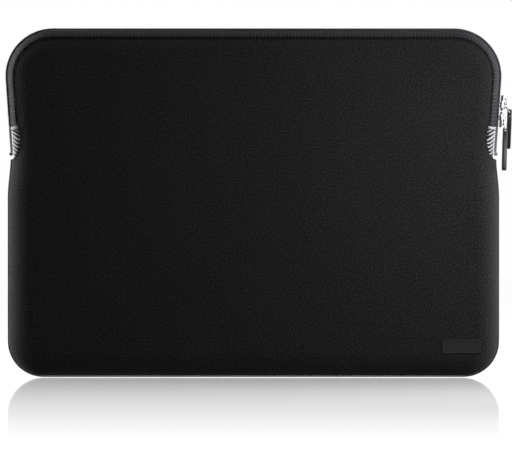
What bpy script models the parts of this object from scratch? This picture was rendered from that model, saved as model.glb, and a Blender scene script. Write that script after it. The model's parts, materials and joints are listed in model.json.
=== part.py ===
"""Zipped neoprene sleeve for a thin 13 inch laptop.

The sleeve stands on its bottom seam: X runs across its width, its front faces -Y and +Z is up.
The origin is the centre of the bottom seam's flat underside. Two padded panels with linings are
joined along the bottom and the lower sides. A two-way zip runs up one side, over the top and down
the other side, and a stretch gusset closes the pocket under each end of the zip.
"""

import math
from collections import namedtuple

import bmesh
import bpy
from mathutils import Matrix, Vector

# Driving dimensions of the sleeve's outline, seen from the front.
SLEEVE_HEIGHT = 0.232
UPPER_HALF_WIDTH = 0.165
LOWER_HALF_WIDTH = UPPER_HALF_WIDTH - 0.0016
TOP_CORNER_RADIUS = 0.032
BOTTOM_CORNER_RADIUS = 0.024
SIDE_LEAN = math.radians(4.0)       # the zipped part of each side leans outwards by this
FOLD_HEIGHT = SLEEVE_HEIGHT - 0.066  # the mouth folds open here, level with the gussets' tops
WAIST_HEIGHT = FOLD_HEIGHT - 0.016  # the leaning part of each side starts here
WAIST_BLEND = 0.030                 # height over which the straight side eases into the waist

# The section through an edge: a quarter ellipse from the seam to the flat face.
HALF_DEPTH = 0.0135
EDGE_ROLL = 0.016
RIM = 0.0012                        # thread and zip teeth stand this far outside the panels

# Materials of the shell.
PANEL_THICKNESS = 0.004
LINING_THICKNESS = 0.0008
TAPE_THICKNESS = 0.0006
TAPE_RECESS = 0.0001
GUSSET_THICKNESS = 0.0007
GUSSET_RECESS = 0.0002
GAP = 0.0003                        # clearance between pieces that touch
SEAM_GAP = 0.0006                   # from the seam's middle plane to each panel, under the thread
LINING_GAP = 0.0006                 # between a panel and its lining

# The panel's edge beside the zip and the gusset, measured in from the outline.
BAND_TOP = 0.0074
BAND_SIDE = 0.0066
GUSSET_REACH = 0.0077
GUSSET_TIP = FOLD_HEIGHT - 0.021
TIP_INSET = 0.0002
TIP_EASE = 0.001                    # the seam opens over this height under the gusset's tip
GUSSET_WIDEST = FOLD_HEIGHT - 0.007
BAND_START = FOLD_HEIGHT + 0.006

# The zip.
TEETH_SLIT = 0.0008                 # half of the slit that the sliders' posts run in
TEETH_EDGE = 0.0033
TEETH_THICKNESS = 0.0016
TAIL_END = FOLD_HEIGHT - 0.0165
TAIL_BAR = 0.0015
STOP_LENGTH = 0.0020
STOP_HALF_WIDTH = 0.0026
STOP_THICKNESS = 0.0020

# The zip sliders. Both are the same casting, the lower one turned upside down.
SLIDER_LENGTH = 0.0104
NOSE_HALF_WIDTH = 0.0042
TAIL_HALF_WIDTH = 0.0032
SLIDER_PLATE = 0.0016
INNER_PLATE = 0.0006
INNER_PLATE_HALF_WIDTH = 0.0030
INNER_PLATE_CLEARANCE = 0.0005
POST_HALF_WIDTH = 0.0005
POST_LENGTH = 0.0030
BRIDGE_RADIUS = 0.0006
BRIDGE_WINDOW = 0.0022
BRIDGE_HALF_SPAN = 0.0034
LOWER_SLIDER_HEIGHT = FOLD_HEIGHT + 0.0053
SLIDER_NOSE_GAP = 0.0004
# Where the casting's outline turns, as shares of its half-length or of its nose's half-width.
WAIST_SHARE = -0.2
SHOULDER_SHARE = 0.45
CHEEK_SHARE = 0.8
NOSE_TIP_SHARE = 0.6
POST_SHARE = 0.5
INNER_PLATE_SHARE = 0.9
BRIDGE_SQUARENESS = 0.7             # 1 is a plain half round, and less squares the bridge's shoulders

# The pulls: a wire link through each slider's bridge and a moulded tab on the link.
LINK_WIRE_RADIUS = 0.00045
LINK_LENGTH = 0.0070
LINK_CORNER = 0.0012
EYE_HALF_WIDTH = 0.0014
EYE_HOLE_RADIUS = 0.0008
EYE_LENGTH = 0.0032
TAB_LENGTH = 0.0270
TAB_HALF_WIDTH = 0.0026
TAB_THICKNESS = 0.0030
TAB_EDGE = 0.0005
LOWER_LINK_ANGLE = math.radians(12.0)
LOWER_TAB_ANGLE = math.radians(2.0)
LOWER_PULL_LEAN = math.radians(-6.0)
UPPER_LINK_ANGLE = math.radians(34.0)
UPPER_TAB_ANGLE = math.radians(4.0)
UPPER_PULL_LEAN = math.radians(28.0)

# Stitching and badge.
THREAD_HALF_WIDTH = 0.0012
STITCH_OFFSET = 0.0005
STITCH_WIDTH = 0.0016
STITCH_THICKNESS = 0.0003
BADGE_WIDTH = 0.025
BADGE_HEIGHT = 0.009
BADGE_THICKNESS = 0.0005
BADGE_CORNER = 0.0012
BADGE_FROM_SIDE = 0.0265            # from the lower side to the badge's centre
BADGE_FROM_BOTTOM = 0.0210

# How finely the round stretches are divided.
CORNER_STEPS = 7
PANEL_ROWS = 5
LINING_ROWS = 3
EDGE_ROW = math.radians(0.8)        # a narrow first row keeps a panel's edge square to its face
TAPE_ROWS = 3

FRONT = -1
BACK = 1
RIGHT = 1
LEFT = -1

COLOURS = {
    "neoprene": ((0.012, 0.012, 0.013), 0.75, 0.0),
    "fleece": ((0.035, 0.035, 0.038), 0.95, 0.0),
    "tape": ((0.030, 0.030, 0.036), 0.70, 0.0),
    "teeth": ((0.015, 0.015, 0.022), 0.40, 0.0),
    "gusset": ((0.55, 0.55, 0.58), 0.80, 0.0),
    "thread": ((0.010, 0.010, 0.011), 0.60, 0.0),
    "chrome": ((0.78, 0.78, 0.80), 0.12, 1.0),
    "rubber": ((0.020, 0.020, 0.021), 0.50, 0.0),
    "badge": ((0.018, 0.018, 0.019), 0.45, 0.0),
}

# A place on the outline: its point, the direction of its outward normal and the panel edge's inset.
Station = namedtuple("Station", "x z nx nz edge")


def smooth(t):
    """Ease from 0 to 1."""
    t = min(max(t, 0.0), 1.0)
    return t * t * (3.0 - 2.0 * t)


def corner_start():
    """Point where the leaning side meets the top corner."""
    x = UPPER_HALF_WIDTH - TOP_CORNER_RADIUS * (1.0 - math.cos(SIDE_LEAN))
    z = SLEEVE_HEIGHT - TOP_CORNER_RADIUS * (1.0 + math.sin(SIDE_LEAN))
    return x, z


def side_half_width(z):
    """Half-width of the sleeve between its corners."""
    start_x, start_z = corner_start()
    slope = math.tan(SIDE_LEAN)
    if z >= WAIST_HEIGHT:
        return start_x - (start_z - z) * slope
    waist = start_x - (start_z - WAIST_HEIGHT) * slope
    t = min(max((z - WAIST_HEIGHT + WAIST_BLEND) / WAIST_BLEND, 0.0), 1.0)
    ease = smooth(t)
    tangent = (t ** 3 - t ** 2) * WAIST_BLEND * slope
    return LOWER_HALF_WIDTH * (1.0 - ease) + waist * ease + tangent


def side_normal_angle(z):
    """Angle of the side's outward normal above the +X direction."""
    step = 0.0002
    rise = side_half_width(z + step) - side_half_width(z - step)
    return -math.atan2(rise, 2.0 * step)


def edge_inset(z, angle):
    """How far the panels' edge lies inside the outline."""
    if z < GUSSET_TIP:
        return RIM
    if z <= GUSSET_WIDEST:
        t = (GUSSET_WIDEST - z) / (GUSSET_WIDEST - GUSSET_TIP)
        return RIM + max((GUSSET_REACH - RIM) * math.sqrt(1.0 - t * t), TIP_INSET)
    t = smooth((z - GUSSET_WIDEST) / (BAND_START - GUSSET_WIDEST))
    side = GUSSET_REACH * (1.0 - t) + BAND_SIDE * t
    return side + (BAND_TOP - BAND_SIDE) * max(math.sin(angle), 0.0)


def station(x, z, angle):
    """Station on the right half of the outline."""
    return Station(x, z, math.cos(angle), math.sin(angle), edge_inset(z, angle))


def side_station(z):
    return station(side_half_width(z), z, side_normal_angle(z))


def gusset_heights():
    """Heights of the stations beside a gusset, closer together at its tip."""
    span = GUSSET_WIDEST - GUSSET_TIP
    shares = (0.0, 0.07, 0.16, 0.34, 0.62, 1.0)
    return [GUSSET_TIP + span * share for share in shares]


def lower_right():
    """Stations from the bottom centre to just under the gusset's tip."""
    centre_x = LOWER_HALF_WIDTH - BOTTOM_CORNER_RADIUS
    stations = [station(centre_x * share, 0.0, -math.pi / 2) for share in (0.0, 0.5)]
    for step in range(CORNER_STEPS + 1):
        angle = -math.pi / 2 * (1.0 - step / CORNER_STEPS)
        x = centre_x + BOTTOM_CORNER_RADIUS * math.cos(angle)
        z = BOTTOM_CORNER_RADIUS * (1.0 + math.sin(angle))
        stations.append(station(x, z, angle))
    blend_start = WAIST_HEIGHT - WAIST_BLEND
    middle = (BOTTOM_CORNER_RADIUS + blend_start) / 2
    tip_start = GUSSET_TIP - TIP_EASE
    heights = [middle, blend_start, (blend_start + tip_start) / 2, tip_start]
    return stations + [side_station(z) for z in heights]


def upper_right(start):
    """Stations from the height start on the leaning side to the top centre."""
    corner_x, corner_z = corner_start()
    stations = [side_station(z) for z in (start, BAND_START, (BAND_START + corner_z) / 2)]
    centre_x = UPPER_HALF_WIDTH - TOP_CORNER_RADIUS
    centre_z = SLEEVE_HEIGHT - TOP_CORNER_RADIUS
    for step in range(CORNER_STEPS + 2):
        angle = -SIDE_LEAN + (math.pi / 2 + SIDE_LEAN) * step / (CORNER_STEPS + 1)
        x = centre_x + TOP_CORNER_RADIUS * math.cos(angle)
        z = centre_z + TOP_CORNER_RADIUS * math.sin(angle)
        stations.append(station(x, z, angle))
    stations += [station(centre_x * share, SLEEVE_HEIGHT, math.pi / 2) for share in (0.5, 0.0)]
    return stations


def mirrored(stations):
    """The same stations on the left half, in reverse order, without the centre one."""
    return [s._replace(x=-s.x, nx=-s.nx) for s in reversed(stations) if s.x > 1e-6]


def whole_outline():
    """All stations, anticlockwise seen from the front, starting at the bottom centre."""
    right = lower_right() + [side_station(z) for z in gusset_heights()] + upper_right(FOLD_HEIGHT)
    return right + mirrored(right)


def arch_outline(start):
    """Stations from the height start on the right, over the top, to the same height on the left."""
    right = upper_right(start)
    return right + mirrored(right)


def seam_outline():
    """Stations from just under the left gusset, round the bottom, to just under the right one."""
    right = lower_right()
    return mirrored(right) + right


def roll_angle(inset):
    """Angle round the edge's ellipse at an inset from the outline."""
    return math.acos(1.0 - (inset - RIM) / EDGE_ROLL)


def seam_angle(depth):
    """Angle at which a layer that reaches this deep stops short of the seam's middle plane."""
    reach = HALF_DEPTH - depth * EDGE_ROLL / HALF_DEPTH
    return math.asin(SEAM_GAP / reach)


def edge_arc(length):
    """Angle that a short length takes up round the edge."""
    return length / ((EDGE_ROLL + HALF_DEPTH) / 2)


def skin_point(place, angle, depth, side):
    """Point at a depth under the skin. Angle 0 is the seam and 90 degrees the flat face."""
    outward = math.cos(angle) / EDGE_ROLL
    sideways = math.sin(angle) / HALF_DEPTH
    length = math.hypot(outward, sideways)
    inset = RIM + EDGE_ROLL * (1.0 - math.cos(angle)) + depth * outward / length
    reach = HALF_DEPTH * math.sin(angle) - depth * sideways / length
    return Vector((place.x - place.nx * inset, side * reach, place.z - place.nz * inset))


def rim_point(place, inset, y):
    """Point at an inset from the outline and a distance from the middle plane."""
    return Vector((place.x - place.nx * inset, y, place.z - place.nz * inset))


def spaced(start, end, count):
    return [start + (end - start) * step / count for step in range(count + 1)]


def material(name):
    """Principled material in the piece's colour, made once."""
    if name in bpy.data.materials:
        return bpy.data.materials[name]
    colour, roughness, metallic = COLOURS[name]
    made = bpy.data.materials.new(name)
    made.use_nodes = True
    shader = made.node_tree.nodes["Principled BSDF"]
    shader.inputs["Base Color"].default_value = (*colour, 1.0)
    shader.inputs["Roughness"].default_value = roughness
    shader.inputs["Metallic"].default_value = metallic
    made.diffuse_color = (*colour, 1.0)
    return made


def collection(name):
    """Collection in the scene, made once."""
    if name not in bpy.data.collections:
        bpy.context.scene.collection.children.link(bpy.data.collections.new(name))
    return bpy.data.collections[name]


def add_object(name, data, slot):
    piece = bpy.data.objects.new(name, data)
    collection("laptop_sleeve").objects.link(piece)
    data.materials.append(material(slot))
    return piece


def add_cutter(name, data):
    """Object that only cuts others."""
    cutter = bpy.data.objects.new(name, data)
    collection("cutters").objects.link(cutter)
    cutter.hide_render = True
    cutter.display_type = "WIRE"
    return cutter


def surface_mesh(name, columns, closed, capped, flip):
    """Mesh through columns of points. A closed ring of columns can have its inner loop filled."""
    shape = bmesh.new()
    grid = [[shape.verts.new(point) for point in column] for column in columns]
    pairs = list(zip(grid, grid[1:])) + ([(grid[-1], grid[0])] if closed else [])
    for first, second in pairs:
        for row in range(len(first) - 1):
            shape.faces.new((first[row], second[row], second[row + 1], first[row + 1]))
    if capped:
        shape.faces.new([column[-1] for column in grid])
    if flip:
        bmesh.ops.reverse_faces(shape, faces=shape.faces)
    mesh = bpy.data.meshes.new(name)
    shape.to_mesh(mesh)
    shape.free()
    return mesh


def thicken(piece, thickness):
    """Solidify an open surface inwards and shade it."""
    solid = piece.modifiers.new("thickness", "SOLIDIFY")
    solid.thickness = thickness
    solid.offset = -1.0
    solid.use_even_offset = True
    solid.use_quality_normals = True
    piece.data.shade_smooth()
    piece.data.set_sharp_from_angle(angle=math.radians(40))
    return piece


def shell(name, slot, columns, thickness, closed=False, capped=False, flip=False):
    mesh = surface_mesh(name, columns, closed, capped, flip)
    return thicken(add_object(name, mesh, slot), thickness)


def cut_at(piece, height, keep_above):
    """Keep the part of an open surface above or below a level."""
    shape = bmesh.new()
    shape.from_mesh(piece.data)
    everything = shape.verts[:] + shape.edges[:] + shape.faces[:]
    bmesh.ops.bisect_plane(shape, geom=everything, dist=1e-6, plane_co=(0, 0, height),
                           plane_no=(0, 0, 1), clear_inner=keep_above, clear_outer=not keep_above)
    shape.to_mesh(piece.data)
    shape.free()


def face_columns(side, depth, thickness, rows):
    """Columns of points over a whole face, from its edge to the start of its flat part."""
    columns = []
    for place in whole_outline():
        start = max(roll_angle(place.edge), seam_angle(depth + thickness))
        angles = [start] + spaced(start + EDGE_ROW, math.pi / 2, rows)
        columns.append([skin_point(place, angle, depth, side) for angle in angles])
    return columns


def build_panels():
    """Neoprene panels. The front one is split where it folds when the mouth opens."""
    for depth, thickness, slot, rows, names in (
            (0.0, PANEL_THICKNESS, "neoprene", PANEL_ROWS, ("back_panel", "front_panel", "front_flap")),
            (PANEL_THICKNESS + LINING_GAP, LINING_THICKNESS, "fleece", LINING_ROWS,
             ("back_lining", "front_lining", "flap_lining"))):
        back_name, lower_name, flap_name = names
        shell(back_name, slot, face_columns(BACK, depth, thickness, rows), thickness,
              closed=True, capped=True, flip=True)
        for name, above in ((lower_name, False), (flap_name, True)):
            piece = shell(name, slot, face_columns(FRONT, depth, thickness, rows), thickness,
                          closed=True, capped=True)
            cut_at(piece, FOLD_HEIGHT + (GAP / 2 if above else -GAP / 2), above)


def build_tapes():
    """Woven zip tapes from the panels' edges to the teeth, on the flap and on the back."""
    inner = math.asin((TEETH_EDGE + GAP) / HALF_DEPTH)
    for side, name in ((FRONT, "zip_tape_front"), (BACK, "zip_tape_back")):
        columns = []
        for place in arch_outline(FOLD_HEIGHT + GAP / 2):
            outer = roll_angle(place.edge) - edge_arc(GAP)
            columns.append([skin_point(place, angle, TAPE_RECESS, side)
                            for angle in spaced(inner, outer, TAPE_ROWS)])
        shell(name, "tape", columns, TAPE_THICKNESS, flip=side == BACK)


def build_teeth():
    """The two rows of coil teeth, as plain strips with the sliders' slit between them."""
    for side, name in ((FRONT, "zip_teeth_front"), (BACK, "zip_teeth_back")):
        columns = [[rim_point(place, 0.0, side * y) for y in (TEETH_SLIT, TEETH_EDGE)]
                   for place in arch_outline(FOLD_HEIGHT + GAP / 2)]
        shell(name, "teeth", columns, TEETH_THICKNESS, flip=side == BACK)


def build_stitching():
    """Thread round the outer seam, and the rows that hold the panels' edges to the tapes."""
    columns = [[rim_point(place, 0.0, y) for y in (-THREAD_HALF_WIDTH, 0.0, THREAD_HALF_WIDTH)]
               for place in seam_outline()]
    shell("seam_thread", "thread", columns, RIM - GAP, flip=True)
    height = GAP + STITCH_THICKNESS
    for side, name in ((FRONT, "edge_stitch_front"), (BACK, "edge_stitch_back")):
        columns = []
        for place in arch_outline(FOLD_HEIGHT + GAP / 2):
            start = roll_angle(place.edge) + edge_arc(STITCH_OFFSET)
            columns.append([skin_point(place, angle, -height, side)
                            for angle in (start, start + edge_arc(STITCH_WIDTH))])
        shell(name, "thread", columns, STITCH_THICKNESS, flip=side == BACK)


def build_gussets():
    """Stretch gussets, with a groove down the middle for the teeth and the slider's inner plate."""
    groove_inset = TEETH_THICKNESS + INNER_PLATE_CLEARANCE + INNER_PLATE + GAP
    groove_edge = INNER_PLATE_HALF_WIDTH + GAP
    shoulder = math.asin((groove_edge + 2 * GAP) / HALF_DEPTH)
    for hand, name in ((RIGHT, "gusset_right"), (LEFT, "gusset_left")):
        columns = []
        for z in gusset_heights()[1:] + [FOLD_HEIGHT - GAP / 2]:
            place = side_station(z)
            outer = roll_angle(place.edge) - edge_arc(GAP)
            middle = (outer + shoulder) / 2
            half = [skin_point(place, angle, GUSSET_RECESS, BACK) for angle in (outer, middle, shoulder)]
            half += [rim_point(place, groove_inset, groove_edge), rim_point(place, groove_inset, 0.0)]
            front = [Vector((point.x, -point.y, point.z)) for point in half]
            column = front + half[-2::-1]
            columns.append([Vector((hand * point.x, point.y, point.z)) for point in column])
        shell(name, "gusset", columns, GUSSET_THICKNESS, flip=hand == RIGHT)


def run_frame(height, hand=RIGHT, outward=0.0):
    """Frame on the zip's straight side run: X outward, Y to the back, Z up along the run."""
    up = Vector((math.sin(SIDE_LEAN) * hand, 0.0, math.cos(SIDE_LEAN)))
    out = Vector((math.cos(SIDE_LEAN) * hand, 0.0, -math.sin(SIDE_LEAN)))
    across = up.cross(out)
    point = Vector((hand * side_half_width(height), 0.0, height)) + out * outward
    frame = Matrix((out, across, up)).transposed().to_4x4()
    frame.translation = point
    return frame


def outline_plate(name, points, thickness):
    """Flat plate from a 2D outline, as a curve filled on both sides."""
    curve = bpy.data.curves.new(name, "CURVE")
    curve.dimensions = "2D"
    curve.fill_mode = "BOTH"
    curve.extrude = thickness / 2
    spline = curve.splines.new("POLY")
    spline.points.add(len(points) - 1)
    for target, (u, v) in zip(spline.points, points):
        target.co = (u, v, 0.0, 1.0)
    spline.use_cyclic_u = True
    return curve


def wire(name, points, radius, cyclic):
    """Round wire through points, as a poly curve with a bevel."""
    curve = bpy.data.curves.new(name, "CURVE")
    curve.dimensions = "3D"
    curve.bevel_depth = radius
    curve.bevel_resolution = 2
    curve.use_fill_caps = not cyclic
    spline = curve.splines.new("POLY")
    spline.points.add(len(points) - 1)
    for target, point in zip(spline.points, points):
        target.co = (*point, 1.0)
    spline.use_cyclic_u = cyclic
    return curve


def curve_to_mesh(name, curve):
    """Closed mesh of a curve."""
    holder = bpy.data.objects.new(name, curve)
    bpy.context.scene.collection.objects.link(holder)
    graph = bpy.context.evaluated_depsgraph_get()
    mesh = bpy.data.meshes.new_from_object(holder.evaluated_get(graph))
    bpy.data.objects.remove(holder)
    bpy.data.curves.remove(curve)
    shape = bmesh.new()
    shape.from_mesh(mesh)
    bmesh.ops.remove_doubles(shape, verts=shape.verts, dist=1e-6)
    bmesh.ops.recalc_face_normals(shape, faces=shape.faces)
    shape.to_mesh(mesh)
    shape.free()
    mesh.name = name
    return mesh


def block_mesh(name, low, high):
    """Box between two corners."""
    shape = bmesh.new()
    size = [b - a for a, b in zip(low, high)]
    centre = [(a + b) / 2 for a, b in zip(low, high)]
    place = Matrix.Translation(centre) @ Matrix.Diagonal((*size, 1.0))
    bmesh.ops.create_cube(shape, size=1.0, matrix=place)
    mesh = bpy.data.meshes.new(name)
    shape.to_mesh(mesh)
    shape.free()
    return mesh


def rounded(piece, width, segments=2):
    bevel = piece.modifiers.new("rounding", "BEVEL")
    bevel.width = width
    bevel.segments = segments
    bevel.limit_method = "ANGLE"
    return piece


def combine(piece, mesh, frame, operation):
    """Join or cut a piece with another mesh that is placed in the same frame."""
    other = add_cutter(f"{piece.name}_{operation.lower()}_{len(piece.modifiers)}", mesh)
    other.matrix_world = frame
    boolean = piece.modifiers.new(operation.lower(), "BOOLEAN")
    boolean.object = other
    boolean.operation = operation
    boolean.solver = "EXACT"


def arc_points(centre_u, centre_v, radius, start, end, steps):
    return [(centre_u + radius * math.cos(a), centre_v + radius * math.sin(a))
            for a in spaced(start, end, steps)]


def build_tails():
    """The closed ends of the zip below the fold, each with a metal stop under it."""
    for hand, side_name in ((RIGHT, "right"), (LEFT, "left")):
        frame = run_frame(TAIL_END, hand, -TEETH_THICKNESS / 2)
        length = (FOLD_HEIGHT - GAP / 2 - TAIL_END) / math.cos(SIDE_LEAN)
        outline = [(-TEETH_EDGE, 0.0), (TEETH_EDGE, 0.0), (TEETH_EDGE, length), (TEETH_SLIT, length),
                   (TEETH_SLIT, TAIL_BAR), (-TEETH_SLIT, TAIL_BAR), (-TEETH_SLIT, length),
                   (-TEETH_EDGE, length)]
        curve = outline_plate(f"zip_tail_{side_name}", outline, TEETH_THICKNESS)
        piece = add_object(f"zip_tail_{side_name}", curve_to_mesh(curve.name, curve), "teeth")
        # The outline is drawn in X and Y, and stands up along the run.
        piece.matrix_world = frame @ Matrix(((0, 0, 1, 0), (1, 0, 0, 0), (0, 1, 0, 0), (0, 0, 0, 1)))
        low = (-TEETH_THICKNESS / 2, -STOP_HALF_WIDTH, -GAP - STOP_LENGTH)
        high = (-TEETH_THICKNESS / 2 + STOP_THICKNESS, STOP_HALF_WIDTH, -GAP)
        stop = add_object(f"end_stop_{side_name}", block_mesh(f"end_stop_{side_name}", low, high), "chrome")
        stop.matrix_world = frame
        rounded(stop, STOP_LENGTH / 6)


def upper_slider_height():
    """The upper slider sits nose to nose with the lower one."""
    return LOWER_SLIDER_HEIGHT + (SLIDER_LENGTH + SLIDER_NOSE_GAP) * math.cos(SIDE_LEAN)


def link_pivot_reach():
    """Distance of a link's upper bar outside the teeth, in the middle of the bridge's window."""
    return GAP + SLIDER_PLATE + BRIDGE_WINDOW / 2


def build_slider(name, height, nose):
    """Slider casting: outer plate, post, inner plate and bridge. Its nose points along nose."""
    frame = run_frame(height)
    half = SLIDER_LENGTH / 2
    tip = NOSE_HALF_WIDTH * NOSE_TIP_SHARE
    right = [(TAIL_HALF_WIDTH, -half), (TAIL_HALF_WIDTH, half * WAIST_SHARE),
             (NOSE_HALF_WIDTH, half * SHOULDER_SHARE), (NOSE_HALF_WIDTH, half * CHEEK_SHARE), (tip, half)]
    outline = right + [(-u, v) for u, v in reversed(right)]
    mesh = curve_to_mesh(name, outline_plate(name, outline, SLIDER_PLATE))
    mesh.transform(Matrix(((0, 0, 1, GAP + SLIDER_PLATE / 2), (1, 0, 0, 0), (0, nose, 0, 0), (0, 0, 0, 1))))
    if nose < 0:
        mesh.flip_normals()
    piece = add_object(name, mesh, "chrome")
    piece.matrix_world = frame
    rounded(piece, SLIDER_PLATE * 0.25, 1)
    inner_top = -TEETH_THICKNESS - INNER_PLATE_CLEARANCE
    post_top = half * POST_SHARE
    post_ends = sorted((nose * (post_top - POST_LENGTH), nose * post_top))
    overlap = SLIDER_PLATE / 4
    post = block_mesh(name + "_post", (inner_top - INNER_PLATE / 2, -POST_HALF_WIDTH, post_ends[0]),
                      (GAP + overlap, POST_HALF_WIDTH, post_ends[1]))
    inner_half = half * INNER_PLATE_SHARE
    plate = block_mesh(name + "_inner", (inner_top - INNER_PLATE, -INNER_PLATE_HALF_WIDTH, -inner_half),
                       (inner_top, INNER_PLATE_HALF_WIDTH, inner_half))
    foot = GAP + SLIDER_PLATE / 2
    crown = GAP + SLIDER_PLATE + BRIDGE_WINDOW + BRIDGE_RADIUS
    arch = []
    for a in spaced(0.0, math.pi, 12):
        share = math.copysign(abs(math.cos(a)) ** BRIDGE_SQUARENESS, math.cos(a))
        arch.append((foot + (crown - foot) * math.sin(a), 0.0, BRIDGE_HALF_SPAN * share))
    bridge = curve_to_mesh(name + "_bridge", wire(name + "_bridge", arch, BRIDGE_RADIUS, False))
    for other in (post, plate, bridge):
        combine(piece, other, frame, "UNION")
    return piece


def pull_frame(height, lean):
    """Frame at a link's upper bar: X outward, Y along the bar, Z up the pull."""
    return run_frame(height, RIGHT, link_pivot_reach()) @ Matrix.Rotation(lean, 4, "X")


def swing(angle):
    """Turn about the bar that carries the hanging end outwards."""
    return Matrix.Rotation(-angle, 4, "Y")


def tab_frame(height, lean, link_angle, tab_angle):
    """Frame at a link's lower bar, turned with the tab."""
    frame = pull_frame(height, lean)
    return frame @ swing(link_angle) @ Matrix.Translation((0, 0, -LINK_LENGTH)) @ swing(tab_angle - link_angle)


def build_pull(name, height, lean, link_angle, tab_angle):
    """Wire link through the slider's bridge, and the moulded tab that hangs on it."""
    arm = EYE_HALF_WIDTH + GAP + LINK_WIRE_RADIUS
    corners = ((arm - LINK_CORNER, -LINK_LENGTH + LINK_CORNER, -math.pi / 2),
               (arm - LINK_CORNER, -LINK_CORNER, 0.0),
               (-arm + LINK_CORNER, -LINK_CORNER, math.pi / 2),
               (-arm + LINK_CORNER, -LINK_LENGTH + LINK_CORNER, math.pi))
    loop = []
    for centre_y, centre_z, start in corners:
        loop += arc_points(centre_y, centre_z, LINK_CORNER, start, start + math.pi / 2, 3)
    curve = wire(name + "_link", [(0.0, y, z) for y, z in loop], LINK_WIRE_RADIUS, True)
    link = add_object(name + "_link", curve_to_mesh(curve.name, curve), "chrome")
    link.matrix_world = pull_frame(height, lean) @ swing(link_angle)

    frame = tab_frame(height, lean, link_angle, tab_angle)
    half = TAB_THICKNESS / 2
    low = (-half, -TAB_HALF_WIDTH, -TAB_LENGTH)
    tab = add_object(name + "_tab", block_mesh(name + "_tab", low, (half, TAB_HALF_WIDTH, half)), "rubber")
    tab.matrix_world = frame
    rounded(tab, TAB_EDGE)
    for side in (-1, 1):
        ends = sorted((side * EYE_HALF_WIDTH, side * 2 * TAB_HALF_WIDTH))
        notch = block_mesh(name + "_notch", (-TAB_THICKNESS, ends[0], -EYE_LENGTH + half),
                           (TAB_THICKNESS, ends[1], TAB_THICKNESS))
        combine(tab, notch, frame, "DIFFERENCE")
    hole = bmesh.new()
    bmesh.ops.create_cone(hole, cap_ends=True, segments=16, radius1=EYE_HOLE_RADIUS,
                          radius2=EYE_HOLE_RADIUS, depth=4 * TAB_HALF_WIDTH,
                          matrix=Matrix.Rotation(math.pi / 2, 4, "X"))
    mesh = bpy.data.meshes.new(name + "_hole")
    hole.to_mesh(mesh)
    hole.free()
    combine(tab, mesh, frame, "DIFFERENCE")


def build_badge():
    """Plain raised badge with rounded corners, low on the front."""
    half_width = BADGE_WIDTH / 2 - BADGE_CORNER
    half_height = BADGE_HEIGHT / 2 - BADGE_CORNER
    outline = []
    for quarter, (u, v) in enumerate(((1, 1), (-1, 1), (-1, -1), (1, -1))):
        start = quarter * math.pi / 2
        outline += arc_points(u * half_width, v * half_height, BADGE_CORNER, start, start + math.pi / 2, 4)
    curve = outline_plate("blank_badge", outline, BADGE_THICKNESS)
    badge = add_object("blank_badge", curve_to_mesh("blank_badge", curve), "badge")
    badge.rotation_euler = (math.pi / 2, 0.0, 0.0)
    badge.location = (LOWER_HALF_WIDTH - BADGE_FROM_SIDE, -(HALF_DEPTH + GAP + BADGE_THICKNESS / 2),
                      BADGE_FROM_BOTTOM)


def clear_scene():
    for old in list(bpy.data.objects):
        bpy.data.objects.remove(old, do_unlink=True)


def main():
    clear_scene()
    build_panels()
    build_tapes()
    build_teeth()
    build_stitching()
    build_gussets()
    build_tails()
    build_slider("lower_slider", LOWER_SLIDER_HEIGHT, 1)
    build_slider("upper_slider", upper_slider_height(), -1)
    build_pull("lower", LOWER_SLIDER_HEIGHT, LOWER_PULL_LEAN, LOWER_LINK_ANGLE, LOWER_TAB_ANGLE)
    build_pull("upper", upper_slider_height(), UPPER_PULL_LEAN, UPPER_LINK_ANGLE, UPPER_TAB_ANGLE)
    build_badge()


main()
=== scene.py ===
"""Looks of a zipped neoprene laptop sleeve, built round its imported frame.

X runs across the sleeve, its front faces -Y and +Z is up. Every length is in metres.
"""

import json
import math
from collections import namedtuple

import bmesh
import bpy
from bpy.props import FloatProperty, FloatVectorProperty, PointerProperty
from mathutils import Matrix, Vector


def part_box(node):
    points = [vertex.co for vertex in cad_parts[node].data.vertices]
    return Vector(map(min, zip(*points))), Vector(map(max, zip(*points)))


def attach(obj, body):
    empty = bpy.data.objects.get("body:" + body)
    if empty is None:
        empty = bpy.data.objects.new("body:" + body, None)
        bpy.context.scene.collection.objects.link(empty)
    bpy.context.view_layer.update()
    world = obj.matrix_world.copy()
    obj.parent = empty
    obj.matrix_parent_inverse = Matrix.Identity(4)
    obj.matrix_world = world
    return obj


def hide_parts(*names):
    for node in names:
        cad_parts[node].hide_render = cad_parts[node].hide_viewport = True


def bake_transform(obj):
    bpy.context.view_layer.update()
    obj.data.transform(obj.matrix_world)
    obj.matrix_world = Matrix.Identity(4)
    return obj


bl_info = {
    "name": "Laptop Sleeve",
    "version": (1, 0, 0),
    "blender": (4, 5, 0),
    "location": "3D View > Sidebar > Sleeve",
    "description": "Builds a zipped neoprene laptop sleeve with its linings, zip, stitching and pulls",
    "category": "Add Mesh",
}

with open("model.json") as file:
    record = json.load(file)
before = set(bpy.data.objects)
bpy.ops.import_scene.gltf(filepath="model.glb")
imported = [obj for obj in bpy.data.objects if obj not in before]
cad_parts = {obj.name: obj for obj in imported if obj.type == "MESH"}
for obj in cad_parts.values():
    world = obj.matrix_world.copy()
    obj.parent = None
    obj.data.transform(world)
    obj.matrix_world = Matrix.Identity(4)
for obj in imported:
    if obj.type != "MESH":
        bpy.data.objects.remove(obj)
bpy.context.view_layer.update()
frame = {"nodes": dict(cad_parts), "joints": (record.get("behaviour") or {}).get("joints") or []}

JOINTS = {joint["name"]: joint for joint in frame["joints"]}
TEETH_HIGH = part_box("zip_teeth_front")[1]
BACK_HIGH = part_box("back_panel")[1]
SEAM_LOW, SEAM_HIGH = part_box("seam_thread")
BADGE_LOW, BADGE_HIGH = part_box("blank_badge")
STOP_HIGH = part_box("end_stop_right")[1]
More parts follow.
